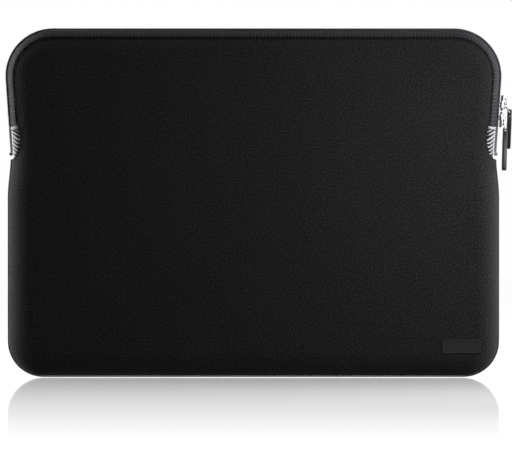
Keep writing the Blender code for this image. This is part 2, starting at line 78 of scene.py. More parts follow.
RUN_UP = Vector(JOINTS["lower_slide"]["axis"]).normalized()
FOLD_HEIGHT = JOINTS["mouth_open"]["pos_m"][2]

SHELL = "shell"
FRONT = -1
BACK = 1
RIGHT = 1
LEFT = -1

Station = namedtuple("Station", "x z nx nz edge")


# Properties

def length(name, default, description):
    """Length property in metres."""
    return FloatProperty(name=name, default=default, description=description, min=0.0,
                         precision=5, unit="LENGTH")


def portion(name, default, description):
    """Property from 0 to 1."""
    return FloatProperty(name=name, default=default, description=description, min=0.0, max=1.0,
                         subtype="FACTOR")


def tint(name, default, description):
    """Colour property."""
    return FloatVectorProperty(name=name, default=default, description=description, size=3,
                               subtype="COLOR", min=0.0, max=1.0)


class SleeveShellSettings(bpy.types.PropertyGroup):
    """Sizes of the padded shell."""

    height: length("Height", TEETH_HIGH.z, "Bottom seam to the top of the zip")
    upper_half_width: length("Upper half-width", 0.165, "Middle to the zip, near the top")
    lower_half_width: length("Lower half-width", SEAM_HIGH.x, "Middle to the side seam")
    half_depth: length("Half-depth", BACK_HIGH.y, "Middle plane to the flat faces")
    top_corner: length("Top corner", 0.032, "Radius of the top corners")
    bottom_corner: length("Bottom corner", 0.024, "Radius of the bottom corners")
    edge_roll: length("Edge roll", 0.016, "Width of the rounded edge, seen from the front")
    rim: length("Rim", 0.0012, "How far zip teeth and seam thread stand outside the panels")
    waist_drop: length("Waist drop", 0.016, "From the fold down to the narrowest place")
    waist_blend: length("Waist blend", 0.030, "Height over which the side eases into the waist")
    panel_thickness: length("Panel thickness", 0.004, "Foam with its two knitted faces")
    edge_round: length("Edge rounding", 0.0011, "Radius at the panels' cut edges")
    lining_gap: length("Lining gap", 0.0006, "Between a panel and its lining")
    lining_thickness: length("Lining thickness", 0.0007, "Fleece with its backing")
    band_top: length("Top band", 0.0074, "Zip band over the top, seen from the front")
    band_side: length("Side band", 0.0066, "Zip band at the sides, seen from the front")
    gusset_reach: length("Gusset reach", 0.0077, "Widest part of a gusset, seen from the front")
    gusset_height: length("Gusset height", 0.021, "From the fold down to a gusset's tip")
    gusset_shoulder: length("Gusset shoulder", 0.007, "From the fold to the gusset's widest place")
    groove_depth: length("Groove depth", 0.0013, "How far a gusset dips under the closed teeth")
    groove_reach: length("Groove reach", 0.0046, "From the middle plane to the groove's edge")
    fullness: length("Fullness", 0.0007, "How far the faces swell in their middle")
    bend_start: length("Bend start", 0.002, "From the fold to where the mouth starts to bend")
    bend_end: length("Bend end", 0.042, "From the fold to where the mouth is fully bent")
    seam_gap: length("Seam gap", 0.0003, "From the middle plane to each panel at the outer seam")


class SleeveZipSettings(bpy.types.PropertyGroup):
    """Sizes of the zip, its sliders and its pulls."""

    tape_thickness: length("Tape thickness", 0.0006, "Woven tape")
    tape_cut: length("Tape cut width", 0.0145, "Woven tape, with the part sewn under the panel")
    tape_edge: length("Tape edge", 0.0034, "From the middle plane to the tape's inner edge")
    ridge: length("Tape ridge", 0.0003, "Height of the corded line beside the teeth")
    pitch: length("Pitch", 0.0015, "One turn of the coil")
    coil_wire: length("Coil wire", 0.00032, "Radius of the coil's filament")
    coil_overlap: length("Coil overlap", 0.0003, "How far the closed teeth pass the middle plane")
    tail_slit: length("Tail slit", 0.0008, "From the middle plane to the tails, for the slider's post")
    coil_outer: length("Coil outer edge", 0.0031, "From the middle plane to the coil's outer edge")
    coil_depth: length("Coil depth", 0.0015, "Thickness of the coil")
    plate: length("Slider plate", 0.0016, "Thickness of a slider's outer plate")
    slider_length: length("Slider length", 0.0104, "Along the zip")
    nose_half_width: length("Nose half-width", 0.0042, "Half the slider's width at its nose")
    tail_half_width: length("Tail half-width", 0.0034, "Half the slider's width at its tail")
    pivot_reach: length("Pivot reach", 0.0030, "From the teeth to the bar of the link")
    bridge_wire: length("Bridge wire", 0.0006, "Radius of the slider's bridge")
    bridge_span: length("Bridge span", 0.0034, "Half the length of the bridge")
    bridge_height: length("Bridge height", 0.0047, "From the teeth to the middle of the bridge's crown")
    link_wire: length("Link wire", 0.00045, "Radius of the link's wire")
    link_length: length("Link length", 0.0070, "Between the middles of the link's two bars")
    link_arm: length("Link arm", 0.00215, "From the link's middle to each arm")
    link_corner: length("Link corner", 0.0012, "Radius of the link's corners")
    tab_length: length("Tab length", 0.0270, "From the eye's middle to the tab's end")
    tab_half_width: length("Tab half-width", 0.0026, "Half the width of the tab's broad face")
    tab_thickness: length("Tab thickness", 0.0030, "Between the tab's broad faces")
    tab_edge: length("Tab edge", 0.0007, "Rounding of the tab's edges")
    eye_half_width: length("Eye half-width", 0.0014, "Half the width of the tab's neck")
    eye_hole: length("Eye hole", 0.0008, "Radius of the hole for the link")


class SleeveStitchSettings(bpy.types.PropertyGroup):
    """Sizes of the stitching."""

    thread: length("Thread", 0.00025, "Radius of the zigzag thread")
    zigzag_pitch: length("Zigzag pitch", 0.0022, "One zig and one zag")
    zigzag_in: length("On the panel", 0.0013, "How far the zigzag reaches over the panel")
    zigzag_out: length("On the tape", 0.0006, "How far the zigzag reaches over the tape")
    seam_wire: length("Seam thread", 0.00030, "Radius of the overlock thread")
    seam_pitch: length("Seam pitch", 0.0017, "Between two overlock stitches")
    seam_reach: length("Seam reach", 0.0019, "From the seam to each end of a stitch")


class SleeveColourSettings(bpy.types.PropertyGroup):
    """Colours of the materials."""

    neoprene: tint("Neoprene", (0.0035, 0.0035, 0.0037), "Knitted face of the panels")
    neoprene_light: tint("Neoprene fleck", (0.033, 0.033, 0.0335), "Lighter loops of the knit")
    fleece: tint("Fleece", (0.040, 0.041, 0.045), "Lining")
    tape: tint("Tape", (0.0035, 0.0035, 0.0055), "Woven zip tape")
    tape_light: tint("Tape rib", (0.046, 0.046, 0.057), "Raised yarns of the tape")
    coil: tint("Coil", (0.130, 0.130, 0.150), "Zip teeth")
    gusset: tint("Gusset", (0.68, 0.68, 0.71), "Ground of the gusset fabric")
    stroke: tint("Stroke", (0.012, 0.012, 0.014), "Dark strokes on the gusset fabric")
    thread: tint("Thread", (0.0025, 0.0025, 0.003), "Stitching")
    chrome: tint("Chrome", (0.62, 0.62, 0.64), "Sliders and links")
    rubber: tint("Rubber", (0.014, 0.014, 0.015), "Pull tabs")
    badge: tint("Badge", (0.013, 0.013, 0.014), "Blank badge")
    floor: tint("Floor", (0.35, 0.35, 0.36), "Studio floor under its own glow")


class SleeveStageSettings(bpy.types.PropertyGroup):
    """The camera and the floor."""

    camera_distance: length("Camera distance", 1.8, "From the camera to the sleeve's middle plane")
    camera_height: length("Camera height", 0.0955, "From the floor to the camera")
    camera_aside: length("Camera aside", 0.0017, "From the sleeve's middle to the camera")
    view_width: length("View width", 0.34, "Width that the camera sees at the sleeve's middle plane")
    mirror_reach: length("Mirror reach", 0.57, "From the sleeve to where the floor mirrors no more")
    mirror: portion("Mirror", 0.68, "How much the floor mirrors at the sleeve's foot")
    glow: portion("Glow", 0.92, "The floor's own light")


# Outline of the sleeve

def smooth(t):
    """Ease from 0 to 1."""
    t = min(max(t, 0.0), 1.0)
    return t * t * (3.0 - 2.0 * t)


def spaced(start, end, count):
    return [start + (end - start) * step / count for step in range(count + 1)]


class Outline:
    """The sleeve's outline from the front, and the section through its edge."""

    def __init__(self, shell):
        self.s = shell
        self.lean = math.atan2(RUN_UP.x, RUN_UP.z)
        self.tip = FOLD_HEIGHT - shell.gusset_height
        self.widest = FOLD_HEIGHT - shell.gusset_shoulder
        self.band_start = FOLD_HEIGHT + 0.006
        self.waist = FOLD_HEIGHT - shell.waist_drop
        self.corner_x = shell.upper_half_width - shell.top_corner * (1.0 - math.cos(self.lean))
        self.corner_z = shell.height - shell.top_corner * (1.0 + math.sin(self.lean))
        self.slope = math.tan(self.lean)

    def half_width(self, z):
        """Half-width between the corners."""
        if z >= self.waist:
            return self.corner_x - (self.corner_z - z) * self.slope
        narrow = self.corner_x - (self.corner_z - self.waist) * self.slope
        t = min(max((z - self.waist + self.s.waist_blend) / self.s.waist_blend, 0.0), 1.0)
        ease = smooth(t)
        tangent = (t ** 3 - t ** 2) * self.s.waist_blend * self.slope
        return self.s.lower_half_width * (1.0 - ease) + narrow * ease + tangent

    def edge_inset(self, z, angle):
        """How far the panels' edge lies inside the outline."""
        s = self.s
        if z <= self.tip:
            return s.rim
        if z <= self.widest:
            t = (self.widest - z) / (self.widest - self.tip)
            return s.rim + (s.gusset_reach - s.rim) * math.sqrt(1.0 - t * t)
        t = smooth((z - self.widest) / (self.band_start - self.widest))
        side = s.gusset_reach * (1.0 - t) + s.band_side * t
        return side + (s.band_top - s.band_side) * max(math.sin(angle), 0.0)

    def place(self, x, z, angle):
        return Station(x, z, math.cos(angle), math.sin(angle), self.edge_inset(z, angle))

    def side(self, z):
        step = 0.0002
        rise = self.half_width(z + step) - self.half_width(z - step)
        return self.place(self.half_width(z), z, -math.atan2(rise, 2.0 * step))

    def right(self, across=12, corner=14):
        """Stations from the bottom centre up the right side to the top centre."""
        s = self.s
        low_x = s.lower_half_width - s.bottom_corner
        stations = [self.place(low_x * k / across, 0.0, -math.pi / 2) for k in range(across)]
        for angle in spaced(-math.pi / 2, 0.0, corner):
            x = low_x + s.bottom_corner * math.cos(angle)
            z = s.bottom_corner * (1.0 + math.sin(angle))
            stations.append(self.place(x, z, angle))
        tip_zone = 0.002
        heights = spaced(s.bottom_corner, self.tip - tip_zone, 26)[1:]
        heights += spaced(self.tip - tip_zone, self.tip, 4)[1:]
        reach = self.widest - self.tip
        heights += [self.tip + reach * share ** 2 for share in spaced(0.0, 1.0, 12)[1:]]
        heights += spaced(self.widest, FOLD_HEIGHT, 4)[1:]
        heights += spaced(FOLD_HEIGHT, self.corner_z, 12)[1:-1]
        stations += [self.side(z) for z in heights]
        top_x = s.upper_half_width - s.top_corner
        top_z = s.height - s.top_corner
        for angle in spaced(-self.lean, math.pi / 2, corner + 4):
            x = top_x + s.top_corner * math.cos(angle)
            z = top_z + s.top_corner * math.sin(angle)
            stations.append(self.place(x, z, angle))
        stations += [self.place(top_x * k / across, s.height, math.pi / 2)
                     for k in range(across - 1, -1, -1)]
        return stations

    def ring(self):
        """All stations, anticlockwise from the front, from the bottom centre."""
        right = self.right()
        return right + mirrored(right)

    def arch(self, start):
        """Stations from a height on the right, over the top, to that height on the left."""
        right = [self.side(start)] + [s for s in self.right() if s.z > start + 1e-5]
        return right + mirrored(right)

    def cradle(self, end):
        """Stations from a height on the left, under the bottom, to that height on the right."""
        right = self.right()
        lower = [s for s in right[:len(right) // 2 + 8] if s.z < end - 1e-5] + [self.side(end)]
        return mirrored(lower) + lower

    def roll_angle(self, inset):
        """Angle round the edge's ellipse at an inset from the outline."""
        return math.acos(1.0 - max(inset - self.s.rim, 0.0) / self.s.edge_roll)

    def reach_angle(self, y):
        """Angle round the edge's ellipse at a distance from the middle plane."""
        return math.asin(y / self.s.half_depth)

    def turn(self, distance):
        """Angle that a short distance takes up round the edge."""
        return distance / ((self.s.edge_roll + self.s.half_depth) / 2)

    def skin(self, place, angle, depth, side):
        """Point at a depth under the skin. Angle 0 is the seam and 90 degrees the flat face."""
        s = self.s
        outward = math.cos(angle) / s.edge_roll
        sideways = math.sin(angle) / s.half_depth
        size = math.hypot(outward, sideways)
        inset = s.rim + s.edge_roll * (1.0 - math.cos(angle)) + depth * outward / size
        reach = s.half_depth * math.sin(angle) - depth * sideways / size
        return at_rim(place, inset, side * reach)

    def cloth_place(self, place, angle):
        """Where a point of the skin lies when the cloth is laid flat."""
        s = self.s
        spare = (math.pi / 2 - angle) * (s.edge_roll + s.half_depth) / 2
        inset = s.rim + s.edge_roll - spare
        return (place.x - place.nx * inset, place.z - place.nz * inset)


def at_rim(place, inset, y):
    """Point at an inset from the outline and a distance from the middle plane."""
    return Vector((place.x - place.nx * inset, y, place.z - place.nz * inset))


def mirrored(stations):
    return [s._replace(x=-s.x, nx=-s.nx) for s in reversed(stations) if s.x > 1e-6]


def path_lengths(stations):
    """Distance along the outline at each station."""
    total = 0.0
    lengths = [0.0]
    for first, second in zip(stations, stations[1:]):
        total += math.hypot(second.x - first.x, second.z - first.z)
        lengths.append(total)
    return lengths


def walk(stations, step):
    """Stations at even steps along the outline."""
    lengths = path_lengths(stations)
    count = max(int(round(lengths[-1] / step)), 1)
    walked = []
    index = 0
    for k in range(count + 1):
        target = lengths[-1] * k / count
        while index < len(lengths) - 2 and lengths[index + 1] < target:
            index += 1
        span = lengths[index + 1] - lengths[index]
        t = (target - lengths[index]) / span
        a, b = stations[index], stations[index + 1]
        mixed = [p * (1.0 - t) + q * t for p, q in zip(a, b)]
        size = math.hypot(mixed[2], mixed[3])
        walked.append(Station(mixed[0], mixed[1], mixed[2] / size, mixed[3] / size, mixed[4]))
    return walked


# Shader maths

class Wire:
    """A socket of a material, so that shader maths can be written as an expression."""

    def __init__(self, recipe, socket):
        self.recipe = recipe
        self.socket = socket

    def maths(self, operation, first, second):
        return self.recipe.make("ShaderNodeMath", {"operation": operation}, {0: first, 1: second})

    def __add__(self, other):
        return self.maths("ADD", self, other)

    __radd__ = __add__

    def __sub__(self, other):
        return self.maths("SUBTRACT", self, other)

    def __rsub__(self, other):
        return self.maths("SUBTRACT", other, self)

    def __mul__(self, other):
        return self.maths("MULTIPLY", self, other)

    __rmul__ = __mul__


class Nodes:
    """A node tree under construction."""

    def __init__(self, owner):
        owner.use_nodes = True
        self.tree = owner.node_tree

    def plug(self, target, value):
        """Set a socket's value, or link to it."""
        if isinstance(value, Wire):
            self.tree.links.new(value.socket, target)
        elif hasattr(value, "__len__") and len(value) == 3 and target.type == "RGBA":
            target.default_value = (*value, 1.0)
        else:
            target.default_value = value

    def make(self, kind, settings, sockets, output=0):
        """Add a node with its settings, then its sockets, and return one of its outputs."""
        node = self.tree.nodes.new(kind)
        for name, value in settings.items():
            setattr(node, name, value)
        for key, value in sockets.items():
            self.plug(node.inputs[key], value)
        return Wire(self, node.outputs[output])

    def parts(self, vector):
        """The X and Y of a vector."""
        split = self.make("ShaderNodeSeparateXYZ", {}, {0: vector})
        return split, Wire(self, split.socket.node.outputs[1])

    def size(self, value):
        return self.make("ShaderNodeMath", {"operation": "ABSOLUTE"}, {0: value})

    def step(self, value, low, high):
        """0 below low, 1 above high, smooth between."""
        return self.make("ShaderNodeMapRange", {"interpolation_type": "SMOOTHSTEP"},
                         {"Value": value, "From Min": low, "From Max": high})


class Recipe(Nodes):
    """A material under construction."""

    def __init__(self, name, roughness=0.6, metallic=0.0):
        self.material = bpy.data.materials.new(name)
        super().__init__(self.material)
        self.shader = self.tree.nodes["Principled BSDF"]
        self.set(Roughness=roughness, Metallic=metallic)

    def set(self, **values):
        """Set values or links on the shader. Underscores stand for spaces."""
        for name, value in values.items():
            self.plug(self.shader.inputs[name.replace("_", " ")], value)

    def cloth(self):
        """Coordinates over the cloth laid flat, in metres."""
        return self.make("ShaderNodeUVMap", {"uv_map": "cloth"}, {})

    def place(self):
        return self.make("ShaderNodeTexCoord", {}, {}, 3)

    def noise(self, vector, scale, detail=2.0, roughness=0.5):
        return self.make("ShaderNodeTexNoise", {},
                         {"Vector": vector, "Scale": scale, "Detail": detail, "Roughness": roughness})

    def cells(self, vector, scale, feature="F1", randomness=1.0):
        return self.make("ShaderNodeTexVoronoi", {"feature": feature},
                         {"Vector": vector, "Scale": scale, "Randomness": randomness})

    def stretch(self, vector, scale, turn=0.0):
        return self.make("ShaderNodeMapping", {},
                         {"Vector": vector, "Scale": scale, "Rotation": (0.0, 0.0, turn)})

    def wave(self, value):
        """Sine of a value, from -1 to 1."""
        return self.make("ShaderNodeMath", {"operation": "SINE"}, {0: value})

    def mix(self, factor, first, second):
        """Colour between two colours."""
        return self.make("ShaderNodeMix", {"data_type": "RGBA"}, {0: factor, 6: first, 7: second}, 2)

    def bump(self, height, distance, strength=1.0):
        normal = self.make("ShaderNodeBump", {},
                           {"Height": height, "Distance": distance, "Strength": strength})
        self.set(Normal=normal)
        return self


def knit_height(recipe, vector, loop):
    """Columns of small V-shaped loops: a height from 0 to 1."""
    across, along = recipe.parts(vector)
    column = across * (math.pi / loop)
    chevron = recipe.size(recipe.wave(column))
    row = recipe.wave(along * (2 * math.pi / loop) + chevron * 2.4)
    return chevron * 0.5 + row * 0.25 + 0.25


def neoprene_material(colours):
    """Fine matt knit laminated over foam, mottled by its uneven loops."""
    recipe = Recipe("neoprene_knit", roughness=0.72)
    cloth = recipe.cloth()
    knit = knit_height(recipe, cloth, 0.00062)
    mottle = recipe.noise(cloth, 850.0, 3.0, 0.65)
    cloud = recipe.noise(cloth, 26.0, 3.0)
    fleck = recipe.step(mottle, 0.43, 0.65)
    shade = fleck * 0.85 + cloud * 0.2
    colour = recipe.mix(shade, colours.neoprene, colours.neoprene_light)
    recipe.set(Base_Color=colour, Roughness=0.66 + mottle * 0.2, Sheen_Weight=0.10,
               Sheen_Roughness=0.35, Specular_IOR_Level=0.28)
    recipe.bump(knit * 0.5 + mottle * 1.6 + cloud * 0.8, 0.0004, 1.0)
    return recipe.material


def fleece_material(colours):
    """Short brushed pile of the lining."""
    recipe = Recipe("lining_fleece", roughness=0.95)
    cloth = recipe.cloth()
    pile = recipe.noise(cloth, 1400.0, 4.0, 0.7)
    nap = recipe.noise(recipe.stretch(cloth, (60.0, 14.0, 1.0)), 1.0, 2.0)
    lighter = [min(1.0, c * 1.9) for c in colours.fleece]
    colour = recipe.mix(pile * 0.6 + nap * 0.4, colours.fleece, lighter)
    recipe.set(Base_Color=colour, Sheen_Weight=0.5, Sheen_Roughness=0.5)
    recipe.bump(pile + nap * 0.8, 0.0004, 0.8)
    return recipe.material


def tape_material(colours):
    """Woven tape: slanted ribs that meet in rows of small chevrons."""
    recipe = Recipe("zip_tape_weave", roughness=0.6)
    cloth = recipe.cloth()
    along, across = recipe.parts(cloth)
    fold = recipe.size(recipe.wave(across * (math.pi / 0.0030)))
    rib = recipe.wave(along * (2 * math.pi / 0.0024) + fold * 3.0)
    yarn = recipe.wave(along * (2 * math.pi / 0.0006)) * recipe.wave(across * (2 * math.pi / 0.0006))
    uneven = recipe.noise(cloth, 700.0, 2.0)
    height = rib * 0.24 + yarn * 0.1 + uneven * 1.1
    colour = recipe.mix(recipe.step(height, 0.3, 0.9), colours.tape, colours.tape_light)
    recipe.set(Base_Color=colour, Roughness=0.5 + uneven * 0.3, Sheen_Weight=0.10,
               Specular_IOR_Level=0.25)
    recipe.bump(height, 0.0004, 1.0)
    return recipe.material


def coil_material(colours):
    """Satin filament of the zip's coil."""
    recipe = Recipe("zip_coil", roughness=0.35)
    wear = recipe.noise(recipe.place(), 900.0, 2.0)
    recipe.set(Base_Color=recipe.mix(wear, colours.coil, [c * 1.7 for c in colours.coil]),
               Roughness=0.28 + wear * 0.25)
    recipe.bump(wear, 0.00003)
    return recipe.material


def gusset_material(colours):
    """Pale stretch knit with dark strokes that taper away from the panels' edges."""
    recipe = Recipe("gusset_knit", roughness=0.8)
    cloth = recipe.cloth()
    across, along = recipe.parts(cloth)
    knit = knit_height(recipe, cloth, 0.0005)
    wander = recipe.noise(cloth, 260.0, 1.0)
    edge = recipe.make("ShaderNodeAttribute", {"attribute_name": "from_edge"}, {}, 2)
    slant = recipe.size(across) * 0.5
    strokes = recipe.wave((along + slant) * (2 * math.pi / 0.0027) + wander * 3.5)
    narrow = edge * 2.1 - 0.85
    mask = recipe.step(strokes - narrow, -0.06, 0.16)
    colour = recipe.mix(mask, colours.gusset, colours.stroke)
    recipe.set(Base_Color=colour, Roughness=0.75 + knit * 0.15, Sheen_Weight=0.15)
    recipe.bump(knit + wander * 0.4, 0.00014, 0.7)
    return recipe.material


def hem_material(colours):
    """Folded hem of the gusset fabric."""
    recipe = Recipe("gusset_hem", roughness=0.8)
    cloth = recipe.place()
    weave = recipe.noise(cloth, 1500.0, 2.0)
    recipe.set(Base_Color=recipe.mix(weave, colours.gusset, [c * 0.8 for c in colours.gusset]))
    recipe.bump(weave, 0.0001, 0.6)
    return recipe.material


def thread_material(colours):
    """Twisted sewing thread."""
    recipe = Recipe("sewing_thread", roughness=0.55)
    place = recipe.place()
    fibres = recipe.noise(place, 2600.0, 2.0)
    recipe.set(Base_Color=recipe.mix(fibres, colours.thread, [c * 2.6 for c in colours.thread]),
               Roughness=0.55 + fibres * 0.3, Specular_IOR_Level=0.2)
    recipe.bump(fibres, 0.00004, 0.6)
    return recipe.material


def chrome_material(colours):
    """Polished plating with faint handling marks."""
    recipe = Recipe("chrome_plate", roughness=0.1, metallic=1.0)
    place = recipe.place()
    smear = recipe.noise(place, 240.0, 3.0)
    scuff = recipe.noise(recipe.stretch(place, (300.0, 2500.0, 900.0)), 1.0, 2.0)
    marks = recipe.step(scuff, 0.62, 0.75)
    recipe.set(Base_Color=recipe.mix(marks, colours.chrome, [c * 0.82 for c in colours.chrome]),
               Roughness=0.06 + smear * 0.10 + marks * 0.12)
    recipe.bump(smear, 0.00002, 0.3)
    return recipe.material


def rubber_material(colours):
    """Satin moulded rubber with a fine eggshell grain."""
    recipe = Recipe("moulded_rubber", roughness=0.4)
    place = recipe.place()
    grain = recipe.cells(place, 5200.0)
    smear = recipe.noise(place, 180.0, 3.0)
    lighter = [c * 1.8 for c in colours.rubber]
    recipe.set(Base_Color=recipe.mix(smear, colours.rubber, lighter), Roughness=0.34 + smear * 0.2,
               Specular_IOR_Level=0.5)
    recipe.bump(grain, 0.00002, 0.35)
    return recipe.material


def badge_material(colours):
    """Soft moulded badge, a little smoother than the knit round it."""
    recipe = Recipe("badge_film", roughness=0.45)
    place = recipe.place()
    grain = recipe.noise(place, 1100.0, 3.0)
    recipe.set(Base_Color=recipe.mix(grain, colours.badge, [c * 1.5 for c in colours.badge]),
               Roughness=0.40 + grain * 0.2, Specular_IOR_Level=0.4)
    recipe.bump(grain, 0.00005, 0.5)
    return recipe.material


MATERIALS = {
    "neoprene": neoprene_material,
    "fleece": fleece_material,
    "tape": tape_material,
    "coil": coil_material,
    "gusset": gusset_material,
    "hem": hem_material,
    "thread": thread_material,
    "chrome": chrome_material,
    "rubber": rubber_material,
    "badge": badge_material,
}
made_materials = {}


def finish_of(context, name):
    """The named material, made once."""
    if name not in made_materials:
        made_materials[name] = MATERIALS[name](context.scene.sleeve_colours)
    return made_materials[name]


# Mesh helpers

def add_piece(context, name, mesh, finish):
    piece = bpy.data.objects.new(name, mesh)
    context.collection.objects.link(piece)
    piece.data.materials.append(finish_of(context, finish))
    return piece


def write_mesh(name, shape, angle=40.0):
    """Close off a bmesh as a smooth mesh with crisp corners."""
    bmesh.ops.recalc_face_normals(shape, faces=shape.faces)
    mesh = bpy.data.meshes.new(name)
    shape.to_mesh(mesh)
    shape.free()
    mesh.shade_smooth()
    mesh.set_sharp_from_angle(angle=math.radians(angle))
    return mesh


def add_grid(shape, cloth, columns, closed):
    """Quads through columns of (point, cloth place) pairs."""
    verts = [[shape.verts.new(point) for point, _ in column] for column in columns]
    places = {vert: uv for line, column in zip(verts, columns)
              for vert, (_, uv) in zip(line, column)}
    pairs = list(zip(verts, verts[1:])) + ([(verts[-1], verts[0])] if closed else [])
    for first, second in pairs:
        for row in range(len(first) - 1):
            face = shape.faces.new((first[row], second[row], second[row + 1], first[row + 1]))
            for loop in face.loops:
                loop[cloth].uv = places[loop.vert]
    return verts


def strip_mesh(name, columns, closed_columns=False):
    """Closed band from columns that each run right round its section."""
    shape = bmesh.new()
    cloth = shape.loops.layers.uv.new("cloth")
    looped = [column + column[:1] for column in columns]
    verts = add_grid(shape, cloth, looped, closed_columns)
    if not closed_columns:
        for line in (verts[0][:-1], verts[-1][:-1]):
            shape.faces.new(line)
    bmesh.ops.remove_doubles(shape, verts=shape.verts, dist=1e-7)
    return write_mesh(name, shape)


def wires_mesh(name, runs, radius, cyclic=False, resolution=1):
    """Round wires through lists of points, as one mesh."""
    curve = bpy.data.curves.new(name, "CURVE")
    curve.dimensions = "3D"
    curve.bevel_depth = radius
    curve.bevel_resolution = resolution
    curve.use_fill_caps = not cyclic
    for points in runs:
        spline = curve.splines.new("POLY")
        spline.points.add(len(points) - 1)
        for target, point in zip(spline.points, points):
            target.co = (*point, 1.0)
        spline.use_cyclic_u = cyclic
        spline.use_smooth = True
    holder = bpy.data.objects.new(name, curve)
    bpy.context.scene.collection.objects.link(holder)
    graph = bpy.context.evaluated_depsgraph_get()
    mesh = bpy.data.meshes.new_from_object(holder.evaluated_get(graph))
    bpy.data.objects.remove(holder)
    bpy.data.curves.remove(curve)
    shape = bmesh.new()
    shape.from_mesh(mesh)
    bpy.data.meshes.remove(mesh)
    bmesh.ops.remove_doubles(shape, verts=shape.verts, dist=1e-7)
    return write_mesh(name, shape, 60.0)


def applied(context, piece):
    """Bake a piece's modifiers into its mesh."""
    context.view_layer.update()
    graph = context.evaluated_depsgraph_get()
    mesh = bpy.data.meshes.new_from_object(piece.evaluated_get(graph))
    piece.modifiers.clear()
    piece.data = mesh
    return piece


def bend_with_mouth(context, piece):
    """The piece bends between the shell and the flap."""
    # Bake the piece's placement into its mesh. The piece is not bent.
    shell = context.scene.sleeve_shell
    FOLD_HEIGHT + shell.bend_start
    FOLD_HEIGHT + shell.bend_end
    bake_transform(piece)


# The padded shell

def face_section(outline, place, side, depth, thickness, edge_round):
    """Section through one panel at a station, from its outer flat round the edge to its inner flat."""
    s = outline.s
    edge = max(outline.roll_angle(place.edge), outline.reach_angle(s.seam_gap) * (1.0 + 60.0 * depth))
    r = min(edge_round, thickness / 2)
    bottom = depth + thickness
    start = edge + outline.turn(r)
    section = [(angle, depth) for angle in spaced(math.pi / 2, start, 10)]
    for turn in spaced(0.0, math.pi / 2, 3)[1:]:
        section.append((start - outline.turn(r * math.sin(turn)), depth + r * (1.0 - math.cos(turn))))
    for turn in spaced(math.pi / 2, 0.0, 3):
        section.append((start - outline.turn(r * math.sin(turn)), bottom - r * (1.0 - math.cos(turn))))
    section += [(angle, bottom) for angle in spaced(start, math.pi / 2, 6)[1:]]
    return [(outline.skin(place, angle, layer, side), outline.cloth_place(place, angle))
            for angle, layer in section]


def flat_grid(outline, stations, side, depth, swell):
    """Columns over the flat part of a face, from the bottom to the top."""
    half = math.pi / 2
    right = [place for place in stations if place.x > -1e-6]
    turns = [k for k, place in enumerate(right) if abs(place.nx) > 1e-6]
    first, last = turns[0] - 1, turns[-1] + 1
    across = first
    levels = [outline.skin(place, half, depth, side) for place in right[first:last + 1]]
    low, high = levels[0].z, levels[-1].z
    columns = []
    for k in range(-across, across + 1):
        share = k / across
        column = []
        for level in levels:
            rise = min(level.z - low, high - level.z)
            bulge = swell * smooth((1.0 - abs(share)) * 2.5) * smooth(rise / 0.07)
            point = Vector((level.x * share, level.y + side * bulge, level.z))
            column.append((point, (point.x, point.z)))
        columns.append(column)
    return columns


def face_mesh(name, outline, side, depth, thickness, edge_round, swell):
    """Whole padded face as one closed mesh."""
    shape = bmesh.new()
    cloth = shape.loops.layers.uv.new("cloth")
    stations = outline.ring()
    rings = [face_section(outline, place, side, depth, thickness, edge_round) for place in stations]
    add_grid(shape, cloth, rings, True)
    add_grid(shape, cloth, flat_grid(outline, stations, side, depth, swell), False)
    add_grid(shape, cloth, flat_grid(outline, stations, side, depth + thickness, swell), False)
    bmesh.ops.remove_doubles(shape, verts=shape.verts, dist=2e-6)
    return write_mesh(name, shape)


class SLEEVE_OT_panels(bpy.types.Operator):
    """Build the front and back neoprene panels"""

    bl_idname = "sleeve.panels"
    bl_label = "Panels"

    def execute(self, context):
        shell = context.scene.sleeve_shell
        outline = Outline(shell)
        for side, name in ((FRONT, "front_skin"), (BACK, "back_skin")):
            mesh = face_mesh(name, outline, side, 0.0, shell.panel_thickness, shell.edge_round,
                             shell.fullness)
            piece = add_piece(context, name, mesh, "neoprene")
            if side == FRONT:
                bend_with_mouth(context, piece)
                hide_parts("front_panel", "front_flap")
            else:
                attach(piece, SHELL)
                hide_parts("back_panel")
        return {"FINISHED"}


class SLEEVE_OT_linings(bpy.types.Operator):
    """Build the soft linings behind the panels"""

    bl_idname = "sleeve.linings"
    bl_label = "Linings"

    def execute(self, context):
        shell = context.scene.sleeve_shell
        outline = Outline(shell)
        depth = shell.panel_thickness + shell.lining_gap
        reach = shell.edge_roll + shell.half_depth
        spare = (math.pi / 2) * reach / 2 - shell.edge_roll - shell.rim - depth * (math.pi / 2 - 1.0)
        flat = (2 * (shell.lower_half_width + spare), shell.height + 2 * spare)
        for side, name in ((FRONT, "front_fleece"), (BACK, "back_fleece")):
            mesh = face_mesh(name, outline, side, depth, shell.lining_thickness, 0.0003, 0.0)
            area = sum(face.area for face in mesh.polygons) / 2
            piece = add_piece(context, name, mesh, "fleece")
            min(area, flat[0] * flat[1])
            if side == FRONT:
                bend_with_mouth(context, piece)
                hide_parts("front_lining", "flap_lining")
            else:
                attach(piece, SHELL)
                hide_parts("back_lining")
        return {"FINISHED"}


# The zip

